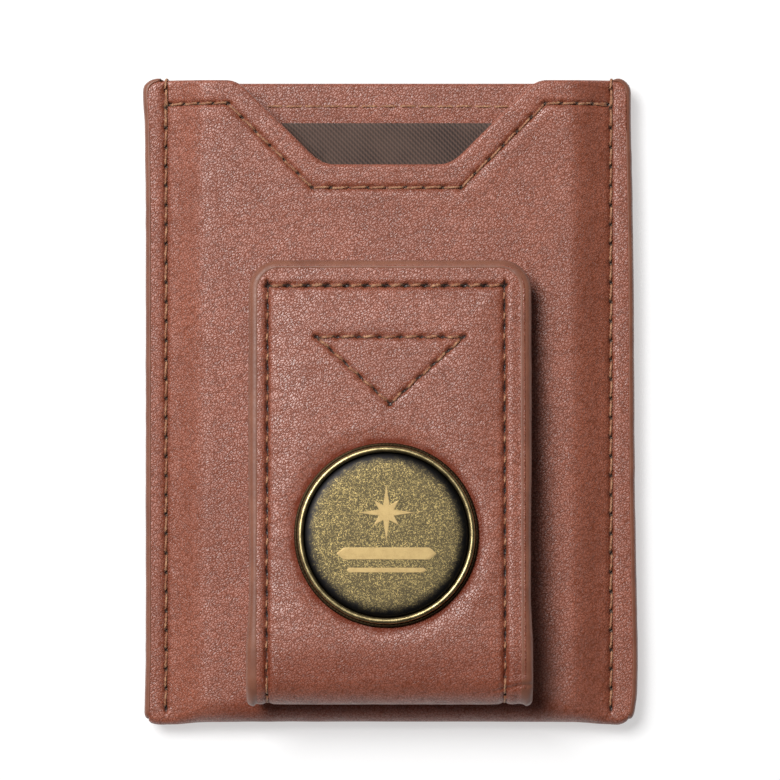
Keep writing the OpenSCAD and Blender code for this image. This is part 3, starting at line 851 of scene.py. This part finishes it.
def lip_height(px, py, nx, ny, lip):
    """Height of the strap's leather under the paint's lip."""
    x, s = px - nx * lip, py - ny * lip
    return float(flap_rise(s) + strap_form(x, s) * relief_share(s))


def paint_section(side, s):
    """The ring of paint beside the strap at s, which is below 0 round the fold."""
    lip = LIP_RIGHT if side > 0 else LIP_LEFT
    high = lip_height(side * STRAP_X, s, side, 0, lip)
    ring = paint_ring(LINING_R, high, lip, float(paint_reach(s, side < 0)), 0.022 if side > 0 else 0.010)
    if s > 0:
        return on_flap(side * (STRAP_X + ring[:, 0]), s, ring[:, 1])
    drop = 0.32 * float(bell(s + HALF_FOLD * 0.95, 2.4))
    bead = slice(3, 16)
    ring[bead, 1] += drop * ease((ring[bead, 1] - LINING_R) / (high - LINING_R))
    return on_fold(side * (STRAP_X + ring[:, 0]), float(fold_turn(s)), ring[:, 1])


def paint_normals(side, s):
    ring = paint_section(side, s)
    along = paint_section(side, s + NEAR) - paint_section(side, s - NEAR)
    return np.cross(along, np.roll(ring, -1, 0) - np.roll(ring, 1, 0)) * side


def arm_paint(name, place, length, front, body, node):
    path = arm_edge(length)
    gone = np.concatenate([[0], np.cumsum(np.hypot(*np.diff(path[:, :2], axis=0).T))])
    loop = []
    for (px, py, nx, ny, lip), g in zip(path, gone):
        loose = float(ease(py / 4))
        lip += 0.04 * loose * float(noise(g / 2.2, 0.3, 6))
        high = lip_height(px, py, nx, ny, lip) if front else float(anchor_rise(py)) - ANCHOR_RIM * loose
        side_reach = float(paint_reach(py if front else -FOLD_LEN - py, px < 0))
        reach = side_reach * abs(nx) + 0.78 * (1 - abs(nx)) + 0.03 * loose * float(noise(g / 1.7, 0.8, 6))
        ring = paint_ring(LINING_R, high, lip, reach, 0.010 + 0.012 * (1 - max(0.0, -nx)))
        loop.append(place(px + nx * ring[:, 0], py + ny * ring[:, 0], ring[:, 1]))
    piece = bars(name, [np.array(loop)], PAINT)
    if front:
        last = (len(loop) - 1) * len(loop[0])
        set_normals(piece, [(0, paint_normals(1, 0.0)), (last, paint_normals(-1, 0.0))])
    return ride(piece, body, "edge_paint", node)


arm_paint("flap_edge_paint", on_flap, FLAP_LEN, True, "clip_flap", "flap_edge_coating")
arm_paint("anchor_edge_paint", on_anchor, ANCHOR_LEN, False, "card_case", "anchor_edge_coating")

for upper, half in HALVES:
    stops = lines((-HALF_FOLD, 0.22), (0, 0)) if upper else lines((-FOLD_LEN, 0.22), (-HALF_FOLD, 0))
    sides = ((1, stops), (-1, stops[::-1]))
    loops = [np.array([paint_section(side, float(s)) for s in run]) for side, run in sides]
    piece = bars("fold_edge_paint_" + half, loops, PAINT)
    ring, count = len(loops[0][0]), len(stops)
    ends = [((count - 1) * ring, 1, stops[-1]), (count * ring, -1, stops[-1])]
    if upper:
        ends += [(0, 1, stops[0]), ((2 * count - 1) * ring, -1, stops[0])]
    set_normals(piece, [(first, paint_normals(side, s)) for first, side, s in ends])
    bend(piece, upper, "edge_paint", LINING_R, "fold_edge_coating")

# ---- threads of the strap ----


def lining_bars(place, seams, layer, dive=0.35):
    """The stitches' inner sides, which lie in the lining's groove."""
    made = []
    for seam in seams:
        made += stitch_bars(
            place, seam, lambda x, y: LINING_R + 0.10 - lining_form(x, y, layer) * 0.5,
            out=-1, lift=0.04, dive=dive, bend=4.0,
        )
    return made


loops = []
for seam in side_seams:
    loops += stitch_bars(on_flap, seam, strap_surface, lift=0.12, dive=1.4, bend=1.6, lean=0.14, radius=0.18)
loops += stitch_bars(on_flap, top_seam, strap_surface, lift=0.17, dive=1.0, bend=2.3, lean=-0.18, radius=0.27)
loops += lining_bars(on_flap, flap_lining_seams, 4)
ride(bars("flap_thread", loops, THREAD), "clip_flap", "thread", "flap_stitching")

loops = []
for seam in triangle_seams:
    loops += stitch_bars(on_flap, seam, strap_surface, lift=0.15, dive=1.0, bend=2.4, lean=-0.14, radius=0.25)
    loops += lining_bars(on_flap, [seam.under()], 4, dive=0.3)
ride(bars("triangle_thread", loops, THREAD), "clip_flap", "thread", "triangle_stitching")

loops = lining_bars(on_anchor, anchor_lining_seams, 5)
for seam in anchor_seams:
    loops += stitch_bars(on_anchor, seam.under(), lambda x, y: ARM_R + LEATHER_T, lift=0.04, dive=0.35, bend=4.0)
ride(bars("anchor_thread", loops, THREAD), "card_case", "thread", "anchor_stitching")



def round_fold(x, s, h):
    return on_fold(x, fold_turn(s), h)


for upper, half in HALVES:
    loops = []
    for x in (STRAP_LEFT, STRAP_RIGHT):
        start, end = (0.0, -HALF_FOLD) if upper else (-HALF_FOLD, -FOLD_LEN)
        seam = Seam((x, start), (x, end), 2)
        for height, out, lift, dive in (
            (strap_surface, 1.0, 0.03, 0.4), (lambda x, s: LINING_R + LINING_GROOVE, -1, 0.04, 0.3)
        ):
            loops += stitch_bars(round_fold, seam, height, out, lift, dive, bend=4.0, lean=0.04, radius=0.18)
    bend(bars("fold_thread_" + half, loops, THREAD), upper, "thread", LINING_R - 0.1, "fold_stitching")

# ---- card case ----


def soft_ramp(t, b=NOTCH_BLEND):
    return np.where(t <= -b, 0, np.where(t >= b, t, (t + b) ** 2 / (4 * b)))


def notch_at(x):
    a = np.abs(x - NOTCH_X)
    return soft_ramp(NOTCH_HALF_W - a) - soft_ramp(NOTCH_HALF_W - a - NOTCH_DEPTH)


def fullness(x):
    return 1 - ease((np.abs(x) - FULL_HALF_W) / (SEAM_HALF_W - FULL_HALF_W))


def half_t(x):
    return SEAM_HALF_T + (MID_Z - SEAM_HALF_T) * fullness(x)


SEAM_FOLD_Y = CASE_BOTTOM + SEAM_HALF_T
CORNER_R = 1.7
TOP_OUT, LOW_OUT = 0.06, 0.20  # how far the corners stand past the CAD case, above and below
LOW_CUT, MOUTH_DROP = 0.9, 0.12  # rounding of the lower corners, and sag of the mouth


def edge_wander(side, y):
    """How far the hand-finished side edge stands outside a straight line."""
    if side > 0:
        places = (-46, -44.5, -42, -38, -34, -28, -14, 0, 20, 32, 40, 46)
        return np.interp(y, places, (-0.25, 0.0, 0.4, 0.5, 0.5, 0.35, 0.1, 0, -0.1, -0.3, -0.5, -0.5))
    return np.interp(y, (-46, -42, -36, 28, 40, 44, 46), (0.2, 0.15, 0, 0, 0.15, 0.4, 0.4))


def edge_shift(x, y):
    """Sideways shift of the leather outside the side seams, which follows its edge."""
    share = ease((np.abs(x) - 31.2) / 3.1)
    return share * np.where(x > 0, edge_wander(1, y), -edge_wander(-1, y))


def corner_cut(x):
    over = np.clip(np.abs(x) - (LEATHER_X - CORNER_R), 0, CORNER_R)
    return CORNER_R - np.sqrt(np.maximum(CORNER_R ** 2 - over ** 2, 0))


def case_fold_y(x):
    """The bottom fold's axis: the corners hang a little lower than its middle and have round ends."""
    low = LOW_OUT * ease((np.abs(x) - 26) / 7)
    cut = np.where(x > 0, LOW_CUT, 0.6 * LOW_CUT) * (corner_cut(x) / CORNER_R) ** 0.8
    return CASE_BOTTOM + half_t(x) + FOLD_DRAW_IN * fullness(x) - low + cut


def mouth(x, front):
    drop = MOUTH_DROP * ease((LEATHER_X - 3 - np.abs(x)) / 6)
    return CASE_TOP + TOP_OUT - corner_cut(x) - drop - (notch_at(x) if front else 0)


def case_y(x, y0, front):
    """Where the grid line y0 lies at column x: it follows the mouth above and the bottom fold below."""
    top_share = 1 - ease((CASE_TOP - y0 - 7) / 29) if front else ease((y0 - 30) / 10)
    low_share = 1 - ease((y0 - SEAM_FOLD_Y) / 9)
    low_shift = case_fold_y(x) - SEAM_FOLD_Y
    return y0 + (mouth(x, front) - CASE_TOP) * top_share + low_shift * low_share


def steepness(x):
    """Share of a step along Y that goes away from the mouth's edge."""
    slope = (notch_at(x + 0.01) - notch_at(x - 0.01)) / 0.02
    return 1 / np.sqrt(1 + slope ** 2)


def hem_round(p):
    """Depth of the turned edge's rounding at p mm from the edge."""
    r = WALL_T / 2 - 0.03
    q = np.clip(r - p, 0, r)
    return r - np.sqrt(r * r - q * q)


hem_corner = HEM_INSET * math.tan(math.radians(22.5))
hem_y = CASE_TOP - HEM_INSET
HEM_LINE = [
    (LEFT_SEAM + 0.5, hem_y), (NOTCH_X - NOTCH_HALF_W - hem_corner, hem_y),
    (NOTCH_X - NOTCH_HALF_W + NOTCH_DEPTH - hem_corner, hem_y - NOTCH_DEPTH),
    (NOTCH_X + NOTCH_HALF_W - NOTCH_DEPTH + hem_corner, hem_y - NOTCH_DEPTH),
    (NOTCH_X + NOTCH_HALF_W + hem_corner, hem_y), (RIGHT_SEAM - 0.5, hem_y),
]
hem_seams = [
    Seam(a, b, n, pit=(0.56, 0.28), slant=0.3, width=0.55) for a, b, n in zip(HEM_LINE, HEM_LINE[1:], (4, 6, 8, 6, 4))
]
SIDE_TOP, SIDE_END, SIDE_COUNT = CASE_TOP - 1.2, CASE_BOTTOM + 2.4, 32


def side_pair(**marks):
    return [Seam((x, SIDE_TOP), (x, SIDE_END), SIDE_COUNT, fade=0.25, **marks) for x in (LEFT_SEAM, RIGHT_SEAM)]


case_side_seams = side_pair(pit=(0.66, 0.28), width=0.6)
back_side_seams = side_pair(pit=(0.45, 0.22), groove=0.16, depth=0.4)
back_hem_seam = Seam((LEFT_SEAM + 0.5, hem_y), (RIGHT_SEAM - 0.5, hem_y), 23, pit=(0.45, 0.22), groove=0.16, depth=0.4)


def beside(x):
    """Distance inwards from the nearer side seam; negative outside it."""
    return np.minimum(x - LEFT_SEAM, RIGHT_SEAM - x)


def front_form(x, y, p):
    """The front's relief without its stitches; p is the distance from the mouth's edge."""
    inside = beside(x)
    under_strap = ease((21.5 - np.abs(x)) / 2) * ease((20.5 - y) / 2)
    loose = ease(inside / 6) * (1 - under_strap)
    height = 0.10 * loose * noise(x / 13, y / 13, 4) + 0.03 * loose * noise(x / 4.5, y / 4.5, 5)
    pucker = np.exp(-np.abs(inside - 0.8) / 1.7) * (inside > 0)
    height = height + 0.05 * pucker * noise(y / 1.2 + 0.4 * x, x / 2.6, 1) - 0.05 * np.exp(-np.abs(inside) / 0.8)
    hem = ease((HEM_W + 0.7 - p) / 1.4)
    return height + 0.06 * hem - hem_round(p)


def back_form(x, y, p):
    inside = beside(x)
    height = -0.05 - 0.04 * (1 + noise(x / 15, y / 15, 5)) * ease(inside / 6)
    return height - 0.05 * np.exp(-np.abs(inside) / 0.8) - hem_round(p)


round_rows = CASE_TOP - np.array([0, 0.02, 0.08, 0.18, 0.31, 0.46])
stitch = case_side_seams[0].step
hole_rows = [SIDE_TOP - k * stitch for k in range(SIDE_COUNT + 1)]


def seam_rows(below, offsets):
    """Grid rows at the side seams' holes, and at the offsets from them."""
    rows = sorted({round(h - o, 4) for h in hole_rows for o in offsets}, reverse=True)
    return np.array([r for r in rows if SEAM_FOLD_Y + 0.05 < r < below])


front_rows = np.concatenate([
    round_rows, lines((CASE_TOP - 0.63, 0.28), (CASE_TOP - 2.5, 0.14), (CASE_TOP - 5.6, 0.28), (CASE_TOP - 9.0, 0)),
    seam_rows(CASE_TOP - 9.2, (-0.7, -0.35, 0, 0.35, 0.7, 1.4)), [SEAM_FOLD_Y],
])
back_rows = np.concatenate([
    round_rows, lines((CASE_TOP - 0.63, 0.45), (CASE_TOP - 2.8, 0.17), (CASE_TOP - 4.0, 0.45), (CASE_TOP - 8.5, 0)),
    seam_rows(CASE_TOP - 8.8, (-0.45, 0, 0.45, 1.4)), [SEAM_FOLD_Y],
])
half_columns = lines(
    (0, 0.75), (7.0, 0.36), (21.6, 0.42), (30.6, 0.26), (RIGHT_SEAM - 0.45, 0.12), (-LEFT_SEAM + 0.45, 0.26),
    (LEATHER_X, 0),
)
case_columns = np.concatenate([-half_columns[:0:-1], half_columns])


def case_grid(rows, front, columns=case_columns):
    x, y0 = np.meshgrid(columns, rows)
    y = case_y(x, y0, front)
    p = (mouth(x, front) - y) * (steepness(x) if front else 1.0)
    return x, y, np.maximum(p, 0)


def case_side(x, y, out, front):
    """A point of the case's front or back, out mm outside its plain surface."""
    sign = 1 if front else -1
    return stack(x + edge_shift(x, y), y, MID_Z + sign * (half_t(x) + out))


def case_fold(x, a, out):
    r = half_t(x) + out
    y = case_fold_y(x) - r * np.sin(a)
    return stack(x + edge_shift(x, y), y, MID_Z + r * np.cos(a))


def inner_depth(p):
    return np.where(p < HEM_W, WALL_T - hem_round(p), LEATHER_T)


x, y, p = case_grid(front_rows, True)
height, dark_front = stitched(x, y, hem_seams + case_side_seams)
front_out = front_form(x, y, p) + height
front_outer, front_inner = case_side(x, y, front_out, True), case_side(x, y, -inner_depth(p), True)
x, y, p = case_grid(back_rows, False)
height, dark_back = stitched(x, y, [back_hem_seam] + back_side_seams)
back_out = np.minimum(back_form(x, y, p) + height, 0)
back_outer, back_inner = case_side(x, y, back_out, False), case_side(x, y, -inner_depth(p), False)
turns = np.linspace(0, math.pi, 19)[1:-1]
x, a = np.meshgrid(case_columns, turns)
share = a / math.pi
fold_out = front_out[-1] * (1 - ease(share)) + back_out[-1] * ease(share)
fold_out = fold_out + 0.04 * np.sin(a) * noise(x / 3.5, 7 + a, 2) * ease(beside(x) / 3)
fold_outer, fold_inner = case_fold(x, a, fold_out), case_fold(x, a, -LEATHER_T)
outer = np.concatenate([front_outer, fold_outer, back_outer[::-1]])
inner = np.concatenate([front_inner, fold_inner, back_inner[::-1]])
under_fold = 0.5 * ease((27 - np.abs(x)) / 7)  # painted shadow below the strap's fold
patina_and_shadow = ease((CASE_BOTTOM + 6.5 - front_outer[..., 1]) / 3.0) * under_fold[0]
# the painted shadow also darkens the start of the case's bottom fold
dark = np.concatenate([dark_front - patina_and_shadow, -under_fold * ease(1.2 - share), dark_back[::-1]])
hem_row = int(np.searchsorted(-front_rows, -(CASE_TOP - HEM_W)))
keep = sorted(
    set(range(0, 8)) | {hem_row - 1, hem_row, hem_row + 1} | set(every(len(front_rows), 5))
    | set(range(len(front_rows), len(front_rows) + len(turns), 2))
    | {len(outer) - 1 - k for k in list(range(0, 8)) + every(len(back_rows), 5)}
)
case_leather = closed_sheet("case_leather_sheet", outer, inner, LEATHER, shade=dark, keep_rows=keep, col_step=3)
ride(case_leather, "card_case", "leather", "case_leather")

# ---- pocket lining ----

lining_columns = lines((-LEATHER_X + 0.2, 0.8), (LEATHER_X - 0.2, 0))


def lining_side(front, depth):
    rows = lines((CASE_TOP - HEM_W + 0.25, 0.9), (SEAM_FOLD_Y, 0))
    x, y, p = case_grid(rows, front, lining_columns)
    sag = 0.10 * ease(beside(x) / 5) * (1 + noise(x / 7, y / 9, 3)) if depth > LEATHER_T + 0.1 else 0
    return case_side(x, y, -depth - sag, front)


def lining_grid(depth):
    x, a = np.meshgrid(lining_columns, np.linspace(0, math.pi, 11)[1:-1])
    return np.concatenate([lining_side(True, depth), case_fold(x, a, -depth), lining_side(False, depth)[::-1]])


pocket = closed_sheet("pocket_lining_twill", lining_grid(LEATHER_T + 0.02), lining_grid(WALL_T), TWILL, 1, 1)
ride(pocket, "card_case", "woven_lining", "pocket_lining")

# ---- painted side edges of the case ----


def case_edge(side):
    """A bead along one side, round the top corner to the side seam and round the end of the bottom fold."""
    seam_x = RIGHT_SEAM if side > 0 else -LEFT_SEAM
    top = CASE_TOP + TOP_OUT
    start = ((seam_x + 0.35, 0.35), (seam_x + 0.7, 0.7), (LEATHER_X - CORNER_R, 1.0))
    path = [(v, top, 0.0, 1.0, size) for v, size in start]
    path += [
        (LEATHER_X - CORNER_R * (1 - math.sin(a)), top - CORNER_R * (1 - math.cos(a)), math.sin(a), math.cos(a), 1.0)
        for a in np.linspace(0, math.pi / 2, 8)[1:]
    ]
    low = float(case_fold_y(LEATHER_X))
    path += [(LEATHER_X, v, 1.0, 0.0, 1.0) for v in lines((top - CORNER_R, 0.8), (low, 0))[1:]]
    path += [
        (LEATHER_X, low - SEAM_HALF_T * math.sin(a), 1.0, 0.0, math.cos(a)) for a in np.linspace(0, 1.45, 9)[1:]
    ]
    angles = np.linspace(-math.pi / 2, math.pi / 2, 13)
    loop = []
    for k, (px, py, nx, ny, size) in enumerate(path):  # the size falls to 0 where the bead ends
        half, wide = SEAM_HALF_T * size, COAT * size ** 0.6
        if ny >= 0.5:
            half, wide = SEAM_HALF_T, COAT * 0.45 * size + COAT * 0.55 * max(0.0, nx)
        wide += 0.03 * float(noise(k / 2.3, side + 3.0, 6))
        out = wide * np.cos(angles) ** 0.75
        up = (half + 0.03) * np.sin(angles)
        lip = min(0.14, half * 0.3)
        ring_out = np.concatenate([[-lip - 0.1, -lip], out, [-lip, -lip - 0.1]])
        ring_up = np.concatenate([[-half * 0.6, -half - 0.045], up, [half + 0.045, half * 0.6]])
        shift = float(edge_shift(side * px, py))
        ring = stack(side * (px + nx * ring_out) + shift, py + ny * ring_out, MID_Z + ring_up)
        loop.append(ring)
    return np.array(loop)


for side, word in ((-1, "left"), (1, "right")):
    bead = bars(word + "_edge_paint", [case_edge(side)], PAINT)
    ride(bead, "card_case", "edge_paint", word + "_edge_coating")

# ---- threads of the case ----


def on_front(x, y, h):
    return case_side(x, y, h, True)


def on_back(x, y, h):
    return case_side(x, y, h, False)


def front_surface(x, y):
    p = (mouth(x, True) - y) * steepness(x)
    return front_form(x, y, p) - deepest_groove(x, y, hem_seams + case_side_seams)


def back_surface(x, y):
    return back_form(x, y, mouth(x, False) - y) - deepest_groove(x, y, [back_hem_seam] + back_side_seams)


def wrap_thread(x):
    """The thread's turn over the mouth's edge at a side seam, from the front's first hole to the back's."""
    top = CASE_TOP + TOP_OUT
    t = np.linspace(0, math.pi, 17)
    half = SEAM_HALF_T + 0.02
    y = top - 0.25 + 0.42 * np.sin(t) ** 0.6
    z = MID_Z + half * np.cos(t)
    front = stack(x - 0.12 * np.linspace(1, 0, 5), np.linspace(SIDE_TOP, top - 0.35, 5), MID_Z + half)
    back = front[::-1] * [1, 1, 0] + [0, 0, MID_Z - half]
    arch = stack(x + 0.1 * np.sin(t), y, z)
    path = np.concatenate([front[:-1], arch, back[1:]])
    return thread_bar(path, np.tile([1.0, 0.0, 0.0], (len(path), 1)))


def inner_bars(place, seam):
    """Stitches on the pocket's inside."""
    return stitch_bars(place, seam, lambda x, y: -WALL_T, out=-1, lift=0.06, dive=0.3, bend=4.0, lean=0.0)


for seam, back_seam, word in zip(case_side_seams, back_side_seams, ("left", "right")):
    loops = stitch_bars(on_front, seam, front_surface, lift=0.08, dive=0.45, bend=3.5, lean=0.10)
    loops += stitch_bars(on_back, back_seam, back_surface, lift=0.0, dive=0.35, bend=3.5, lean=0.05)
    loops.append(wrap_thread(seam.a[0]))
    double = Seam((seam.a[0] + 0.22, SIDE_TOP + 0.3), (seam.a[0] - 0.05, SIDE_TOP - 2 * stitch), 2)
    loops += stitch_bars(on_front, double, front_surface, lift=0.16, dive=0.5, bend=4.0, lean=-0.12)
    ride(bars(word + "_side_thread", loops, THREAD), "card_case", "thread", word + "_side_stitching")

loops = []
for seam in hem_seams:
    loops += stitch_bars(on_front, seam, front_surface, lift=0.08, dive=0.5, bend=4.0, lean=-0.08)
    loops += inner_bars(on_front, seam.under())
for seam, near, way in ((hem_seams[0], hem_seams[0].a, 1), (hem_seams[-1], hem_seams[-1].b, -1)):
    far = near + seam.along * seam.step * way  # the ends are sewn back over one stitch
    over = Seam(near + [0, -0.22], far + [0, 0.12], 1)
    loops += stitch_bars(on_front, over, front_surface, lift=0.16, dive=0.5, bend=4.0, lean=0.0)
ride(bars("notch_hem_thread", loops, THREAD), "card_case", "thread", "notch_hem_stitching")

loops = stitch_bars(on_back, back_hem_seam, back_surface, lift=0.0, dive=0.35, bend=4.0, lean=0.05)
loops += inner_bars(on_back, back_hem_seam)
ride(bars("back_hem_thread", loops, THREAD), "card_case", "thread", "back_hem_stitching")

# ---- medallion ----


def on_medallion(x, y, h):
    return on_flap(MEDAL_X + x, MEDAL_Y + y, ARM_R + h)


def lathe(name, profile, material, segments, beads=None, dark=()):
    """A turned solid: the profile is (radius, height) from axis to axis.

    beads is (point numbers, count, height), and dark names the points that are stained.
    """
    profile = np.array(profile, float)
    a = np.linspace(0, 2 * math.pi, segments, endpoint=False)
    r, h = (np.repeat(profile[1:-1, k][:, None], segments, 1) for k in (0, 1))
    if beads:
        for point in beads[0]:
            h[point - 1] += beads[2] * (0.5 + 0.5 * np.cos(beads[1] * a))
    ring = on_medallion(r * np.cos(a), r * np.sin(a), h)
    count = len(profile) - 2
    poles = [on_medallion(0.0, 0.0, profile[k, 1]) for k in (0, -1)]
    points = np.concatenate([ring.reshape(-1, 3), poles])
    index = np.arange(count * segments).reshape(count, segments)
    index = np.concatenate([index, index[:, :1]], 1)
    faces = quads(index)
    last = count * segments
    faces += [[last, int(index[0, k + 1]), int(index[0, k])] for k in range(segments)]
    faces += [[last + 1, int(index[-1, k]), int(index[-1, k + 1])] for k in range(segments)]
    stain = np.zeros(len(points))
    for point in dark:
        stain[(point - 1) * segments : point * segments] = 1
    return add_piece(name, points, faces, material, shade=stain)


def arc(cx, cy, r, start, end, count):
    """Points of a circle's arc, angles in degrees."""
    return [
        (cx + r * math.cos(math.radians(t)), cy + r * math.sin(math.radians(t))) for t in np.linspace(start, end, count)
    ]


BEZEL_FOOT, BEZEL_HOLLOWS = range(9, 14), (*range(5, 17), *range(39, 45))  # points of the profile below
bezel_profile = (
    [(0, -1.9), (1.42, -1.9), (1.5, -1.82), (1.5, -0.02), (12.7, -0.02), (12.86, 0.0)]
    + arc(12.76, 0.16, 0.14, -20, 90, 6) + [(12.62, 0.31), (12.50, 0.29), (12.43, 0.31), (12.40, 0.38), (12.40, 0.72)]
    + arc(11.99, 0.88, 0.42, -12, 192, 23)
    + [(11.60, 0.62), (11.59, 0.46), (11.56, 0.41), (2.0, 0.40), (0, 0.40)]
)
ride(
    lathe("medallion_bezel_ring", bezel_profile, BRASS, 360, (BEZEL_FOOT, 150, 0.06), BEZEL_HOLLOWS),
    "clip_flap", "antique_brass", "medallion_bezel",
)
centre = tuple((on_medallion(0.0, 0.0, 1.05) * MM).tolist())
FACE = medallion_face("antique_brass_face", centre)
disc_profile = (
    [(0, 0.42), (11.30, 0.42), (11.42, 0.50), (11.44, 0.62)] + arc(11.30, 0.66, 0.12, 0, 70, 4)
    + [
        (11.2, 0.86), (11.0, 0.94), (10.75, 1.01), (10.45, 1.055), (10.1, 1.08), (9.6, 1.095), (9.0, 1.10), (5.0, 1.10),
        (0, 1.10),
    ]
)
ride(lathe("medallion_disc_face", disc_profile, FACE, 192), "clip_flap", "antique_brass_face", "medallion_disc")


def emblem():
    """A plain compass star over one thick and one thin bar with pointed ends."""
    outlines = []
    star, cy = [], 3.1
    for k in range(16):
        a = math.radians(90 + 22.5 * k)
        r = (4.0, 1.15, 2.5, 1.15)[k % 4]
        star.append((r * math.cos(a), cy + r * math.sin(a)))
    outlines.append(star)
    for y, half_w, half_h in ((-2.6, 7.0, 0.85), (-4.9, 5.6, 0.34)):
        tip = half_h * 1.2
        outlines.append([
            (-half_w, y), (-half_w + tip, y - half_h), (half_w - tip, y - half_h),
            (half_w, y), (half_w - tip, y + half_h), (-half_w + tip, y + half_h),
        ])
    points, faces = [], []
    for outline in outlines:
        start, count = len(points), len(outline)
        middle = np.mean(outline, axis=0)
        low = [on_medallion(px, py, 1.08) for px, py in outline]
        edge = [on_medallion(px, py, 1.118) for px, py in outline]
        top = [on_medallion(*(np.array(q) + (middle - q) * 0.05), 1.13) for q in outline]
        points += low + edge + top + [on_medallion(*middle, 1.08), on_medallion(*middle, 1.13)]
        for k in range(count):
            n = (k + 1) % count
            for level in (0, 1):
                a, b = start + level * count, start + (level + 1) * count
                faces.append([a + k, a + n, b + n, b + k])
            faces.append([start + 2 * count + k, start + 2 * count + n, start + 3 * count + 1])
            faces.append([start + n, start + k, start + 3 * count])
    return add_piece("medallion_emblem", np.array(points), faces, ENGRAVED, 0)


ride(emblem(), "clip_flap", "antique_brass_face")

# ---- inner CAD pieces keep their shape ----

for names, material in (
    (("anchor_stiffener", "flap_stiffener"), BOARD),
    (("flap_foam",), FOAM),
    (("anchor_magnet", "flap_magnet"), MAGNET),
    (("medallion_washer",), BRASS),
):
    for name in names:
        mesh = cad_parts[name].data
        mesh.materials.clear()
        mesh.materials.append(material)

# ---- floor, light and camera ----

FLOOR_W, FLOOR_Z = 4, -2e-5
floor_mesh = bpy.data.meshes.new("floor")
corners = [(FLOOR_W * i, FLOOR_W * j, FLOOR_Z) for i, j in ((-1, -1), (1, -1), (1, 1), (-1, 1))]
floor_mesh.from_pydata(corners, [], [(0, 1, 2, 3)])
floor = bpy.data.objects.new("floor", floor_mesh)
bpy.context.scene.collection.objects.link(floor)
n = Nodes("floor")
floor_mesh.materials.append(n.finish(
    n.mix(n.noise(40.0), (0.48, 0.48, 0.48, 1), (0.50, 0.50, 0.50, 1)), 0.8,
    Emission_Color=(1, 1, 1, 1), Emission_Strength=0.54,
))

world = bpy.data.worlds.new("studio")
world.use_nodes = True
bpy.context.scene.world = world
sky = world.node_tree
direction = sky.nodes.new("ShaderNodeTexCoord").outputs["Generated"]
towards = sky.nodes.new("ShaderNodeVectorMath")
towards.operation = "DOT_PRODUCT"
towards.inputs[1].default_value = (-0.42, 0.52, 0.74)
sky.links.new(direction, towards.inputs[0])
dome = sky.nodes.new("ShaderNodeMapRange")
dome.interpolation_type = "SMOOTHSTEP"
for key, value in (("From Min", -0.3), ("From Max", 1.0), ("To Min", 0.58), ("To Max", 2.8)):
    dome.inputs[key].default_value = value
sky.links.new(towards.outputs["Value"], dome.inputs["Value"])
sky.links.new(dome.outputs["Result"], sky.nodes["Background"].inputs["Strength"])

light = bpy.data.lights.new("key", "AREA")
light.shape, light.size, light.energy = "SQUARE", 0.40, 10.8
lamp = bpy.data.objects.new("key", light)
lamp.location = (-0.33, 0.35, 0.84)
lamp.rotation_euler = (-lamp.location).to_track_quat("-Z", "Y").to_euler()
bpy.context.scene.collection.objects.link(lamp)

camera_data = bpy.data.cameras.new("camera")
camera_data.lens, camera_data.sensor_width = 156.1, 36.0
camera_data.clip_start, camera_data.clip_end = 0.01, 20
camera = bpy.data.objects.new("camera", camera_data)
camera.location = (0, 0.0018, 0.488)
bpy.context.scene.collection.objects.link(camera)
bpy.context.scene.camera = camera
bpy.context.scene.view_settings.view_transform = "Standard"
